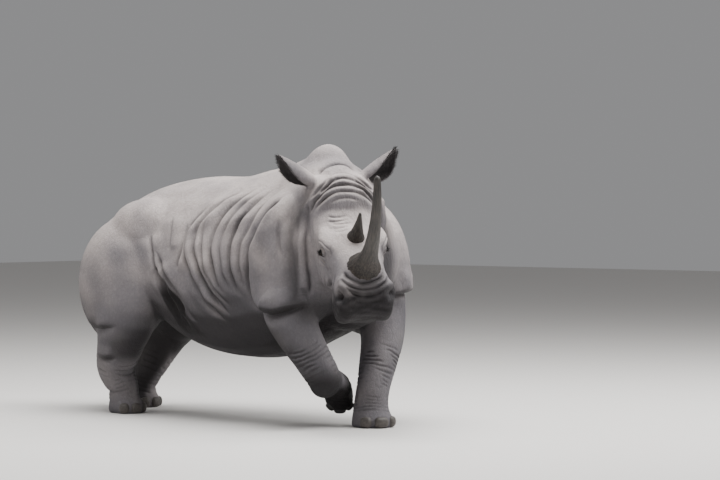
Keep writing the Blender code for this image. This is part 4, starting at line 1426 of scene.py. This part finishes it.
def grow(name, tree, roots, **sizes):
    """Hairs from roots of place, lean, length and spot on the skin's unwrap, as one mesh."""
    mesh = bpy.data.meshes.new(name)
    mesh.from_pydata([place for place, *_ in roots], [], [])
    write(mesh, 'lean', [lean for _, lean, *_ in roots])
    write(mesh, 'long', [length for *_, length, _ in roots])
    piece = bpy.data.objects.new(name, mesh)
    SCENE.collection.objects.link(piece)
    modifier = piece.modifiers.new('bristles', 'NODES')
    modifier.node_group = tree
    inputs = {socket.name: socket.identifier for socket in tree.interface.items_tree
              if socket.in_out == 'INPUT'}
    for size, amount in sizes.items():
        modifier[inputs[size]] = amount
    keep_shape(piece)
    mesh = piece.data
    # every hair is a small patch at its root's spot on the unwrapped skin
    each = len(mesh.vertices) // len(roots)
    rank = np.arange(len(mesh.vertices)) % each
    patch = np.stack([rank % HAIR_SIDES / HAIR_SIDES, rank / each], axis=1) * TUFT_PATCH
    spots = np.repeat(np.array([spot for *_, spot in roots]), each, axis=0) + patch
    corners = np.empty(len(mesh.loops), np.int32)
    mesh.loops.foreach_get('vertex_index', corners)
    unwrap = mesh.uv_layers.new(name='OFBake')
    unwrap.data.foreach_set('uv', spots[corners].astype(np.float32).ravel())
    settle(piece)
    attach(piece, "root")


def on_skin(place, skin):
    """The nearest place on the finished hide, a little under its surface."""
    found, normal, *_ = skin.find_nearest(place + SHIFT)
    return found - SHIFT - normal * 0.002


def strewn(size):
    """A small chance offset."""
    return Vector(CHANCE.normal(size=3)) * size


skin = BVHTree.FromObject(hide, bpy.context.evaluated_depsgraph_get())
bristles = bristle_tree(bristle_material())
for side, label in ((1, 'left'), (-1, 'right')):
    # ear: both edges of the cup, thicker and longer to the tip
    root, axis, out, across = ear_lines(side)
    roots = []
    for _ in range(EAR_HAIRS):
        share = float(CHANCE.triangular(0.22, 0.98, 1.0))
        width, gape, sag = (float(np.interp(share, EAR_COURSE[:, 0], EAR_COURSE[:, k]))
                            for k in (1, 2, 3))
        edge = CHANCE.choice((-1, 1))
        angle = math.radians(gape) * edge + CHANCE.normal() * 0.07
        spoke = out * math.cos(angle) + across * math.sin(angle)
        place = HEAD @ (ear_middle(side, share, sag) + spoke * width)
        lean = HEAD.to_3x3() @ (spoke * 0.8 + axis * (0.3 + share) + strewn(0.22))
        length = 0.012 + 0.015 * share ** 2
        roots.append((on_skin(place, skin), lean, length, (share * 0.9, angle / math.tau + 0.5)))
    grow(f'ear_{label}_fringe', bristles, roots,
         Thickness=0.045, Bend=0.25, Shortest=0.45, Seed=3 + side)
    # lashes: a row on the upper lid, swept outwards
    frame = eye_frame(side)
    roots = []
    for _ in range(LASHES):
        along = CHANCE.uniform(-0.9, 0.9) * EYE_SLIT
        up = float(lid_edge(along, True)) + 0.001
        place = Vector((along, up, math.sqrt(LID_RADIUS ** 2 - along ** 2 - up ** 2)))
        lean = Vector((along * 22, 0.15, 1.0)) + strewn(0.10)
        roots.append((on_skin(frame @ place, skin), frame.to_3x3() @ lean, LASH_LENGTH,
                      (0.5 + along * 10, 0.5 + up * 10)))
    grow(f'eye_{label}_lashes', bristles, roots,
         Thickness=0.028, Bend=-0.2, Shortest=0.6, Seed=7 + side)

# tail: two fringes down the flat end, and a brush at the tip
roots = []
for _ in range(TAIL_HAIRS):
    share = CHANCE.triangular(0.0, 1.0, 1.0)
    height = 0.88 - 0.24 * share
    angle = math.radians(CHANCE.choice((0, 180)) + CHANCE.normal() * (18 + 40 * share ** 4))
    spoke = Vector((math.cos(angle), math.sin(angle), 0))
    place = TAIL_END + Vector((0, 0, height)) + spoke * TAIL_HALF
    lean = spoke * 0.45 + Vector((0, 0, -1)) + strewn(0.12)
    roots.append((on_skin(place, skin), lean, 0.045 + 0.045 * share,
                  (angle / math.tau % 1 * 0.9, 0.95 * share)))
grow('tail_bristles', bristles, roots, Thickness=0.017, Bend=0.18, Shortest=0.5, Seed=11)

# ===========================================================================================
# Floor, light and camera: pale matt paper under a soft overcast sky, with one side light and
# a faint fill. The camera stands at the animal's right front, level with its chest.
# ===========================================================================================
bm = bmesh.new()
bmesh.ops.create_grid(bm, x_segments=1, y_segments=1, size=30)
floor = made(bm, 'floor')
paper, _, shader = new_material('matt_studio_floor')
shader.inputs['Base Color'].default_value = linear('#d9d6d2')
shader.inputs['Roughness'].default_value = 0.9
floor.data.materials.append(paper)
floor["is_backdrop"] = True

world = bpy.data.worlds.new('studio')
world.use_nodes = True
sky = world.node_tree.nodes['Background']
sky.inputs['Color'].default_value = linear('#e6e6e8')
sky.inputs['Strength'].default_value = 0.35
SCENE.world = world

AIM = Vector((0, 0, 0.85)) + SHIFT


def stand(name, data, azimuth, elevation, distance):
    """Puts a lamp or a camera round the model, facing it."""
    thing = bpy.data.objects.new(name, data)
    turn, rise = math.radians(azimuth), math.radians(elevation)
    thing.location = AIM + distance * Vector((math.sin(turn) * math.cos(rise),
                                              -math.cos(turn) * math.cos(rise), math.sin(rise)))
    thing.rotation_euler = (AIM - thing.location).to_track_quat('-Z', 'Y').to_euler()
    SCENE.collection.objects.link(thing)
    return thing


for name, azimuth, elevation, distance, size, power in (
        ('sky_light', 60, 82, 7.0, 6.0, 1250), ('side_light', 125, 40, 8.0, 4.0, 620),
        ('fill_light', -40, 30, 9.0, 5.0, 170)):
    lamp = bpy.data.lights.new(name, 'AREA')
    lamp.size, lamp.energy = size, power
    stand(name, lamp, azimuth, elevation, distance)

lens = bpy.data.cameras.new('camera')
lens.lens, lens.sensor_width = 118.5, 36.0
lens.shift_x, lens.shift_y = 0.1556, 0.0618
lens.clip_end = 100.0
SCENE.camera = stand('camera', lens, 42, 2, 15.0)

size = {'cad': [list(corner) for corner in cad_box],
        'visual': [list(corner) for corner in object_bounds()]}
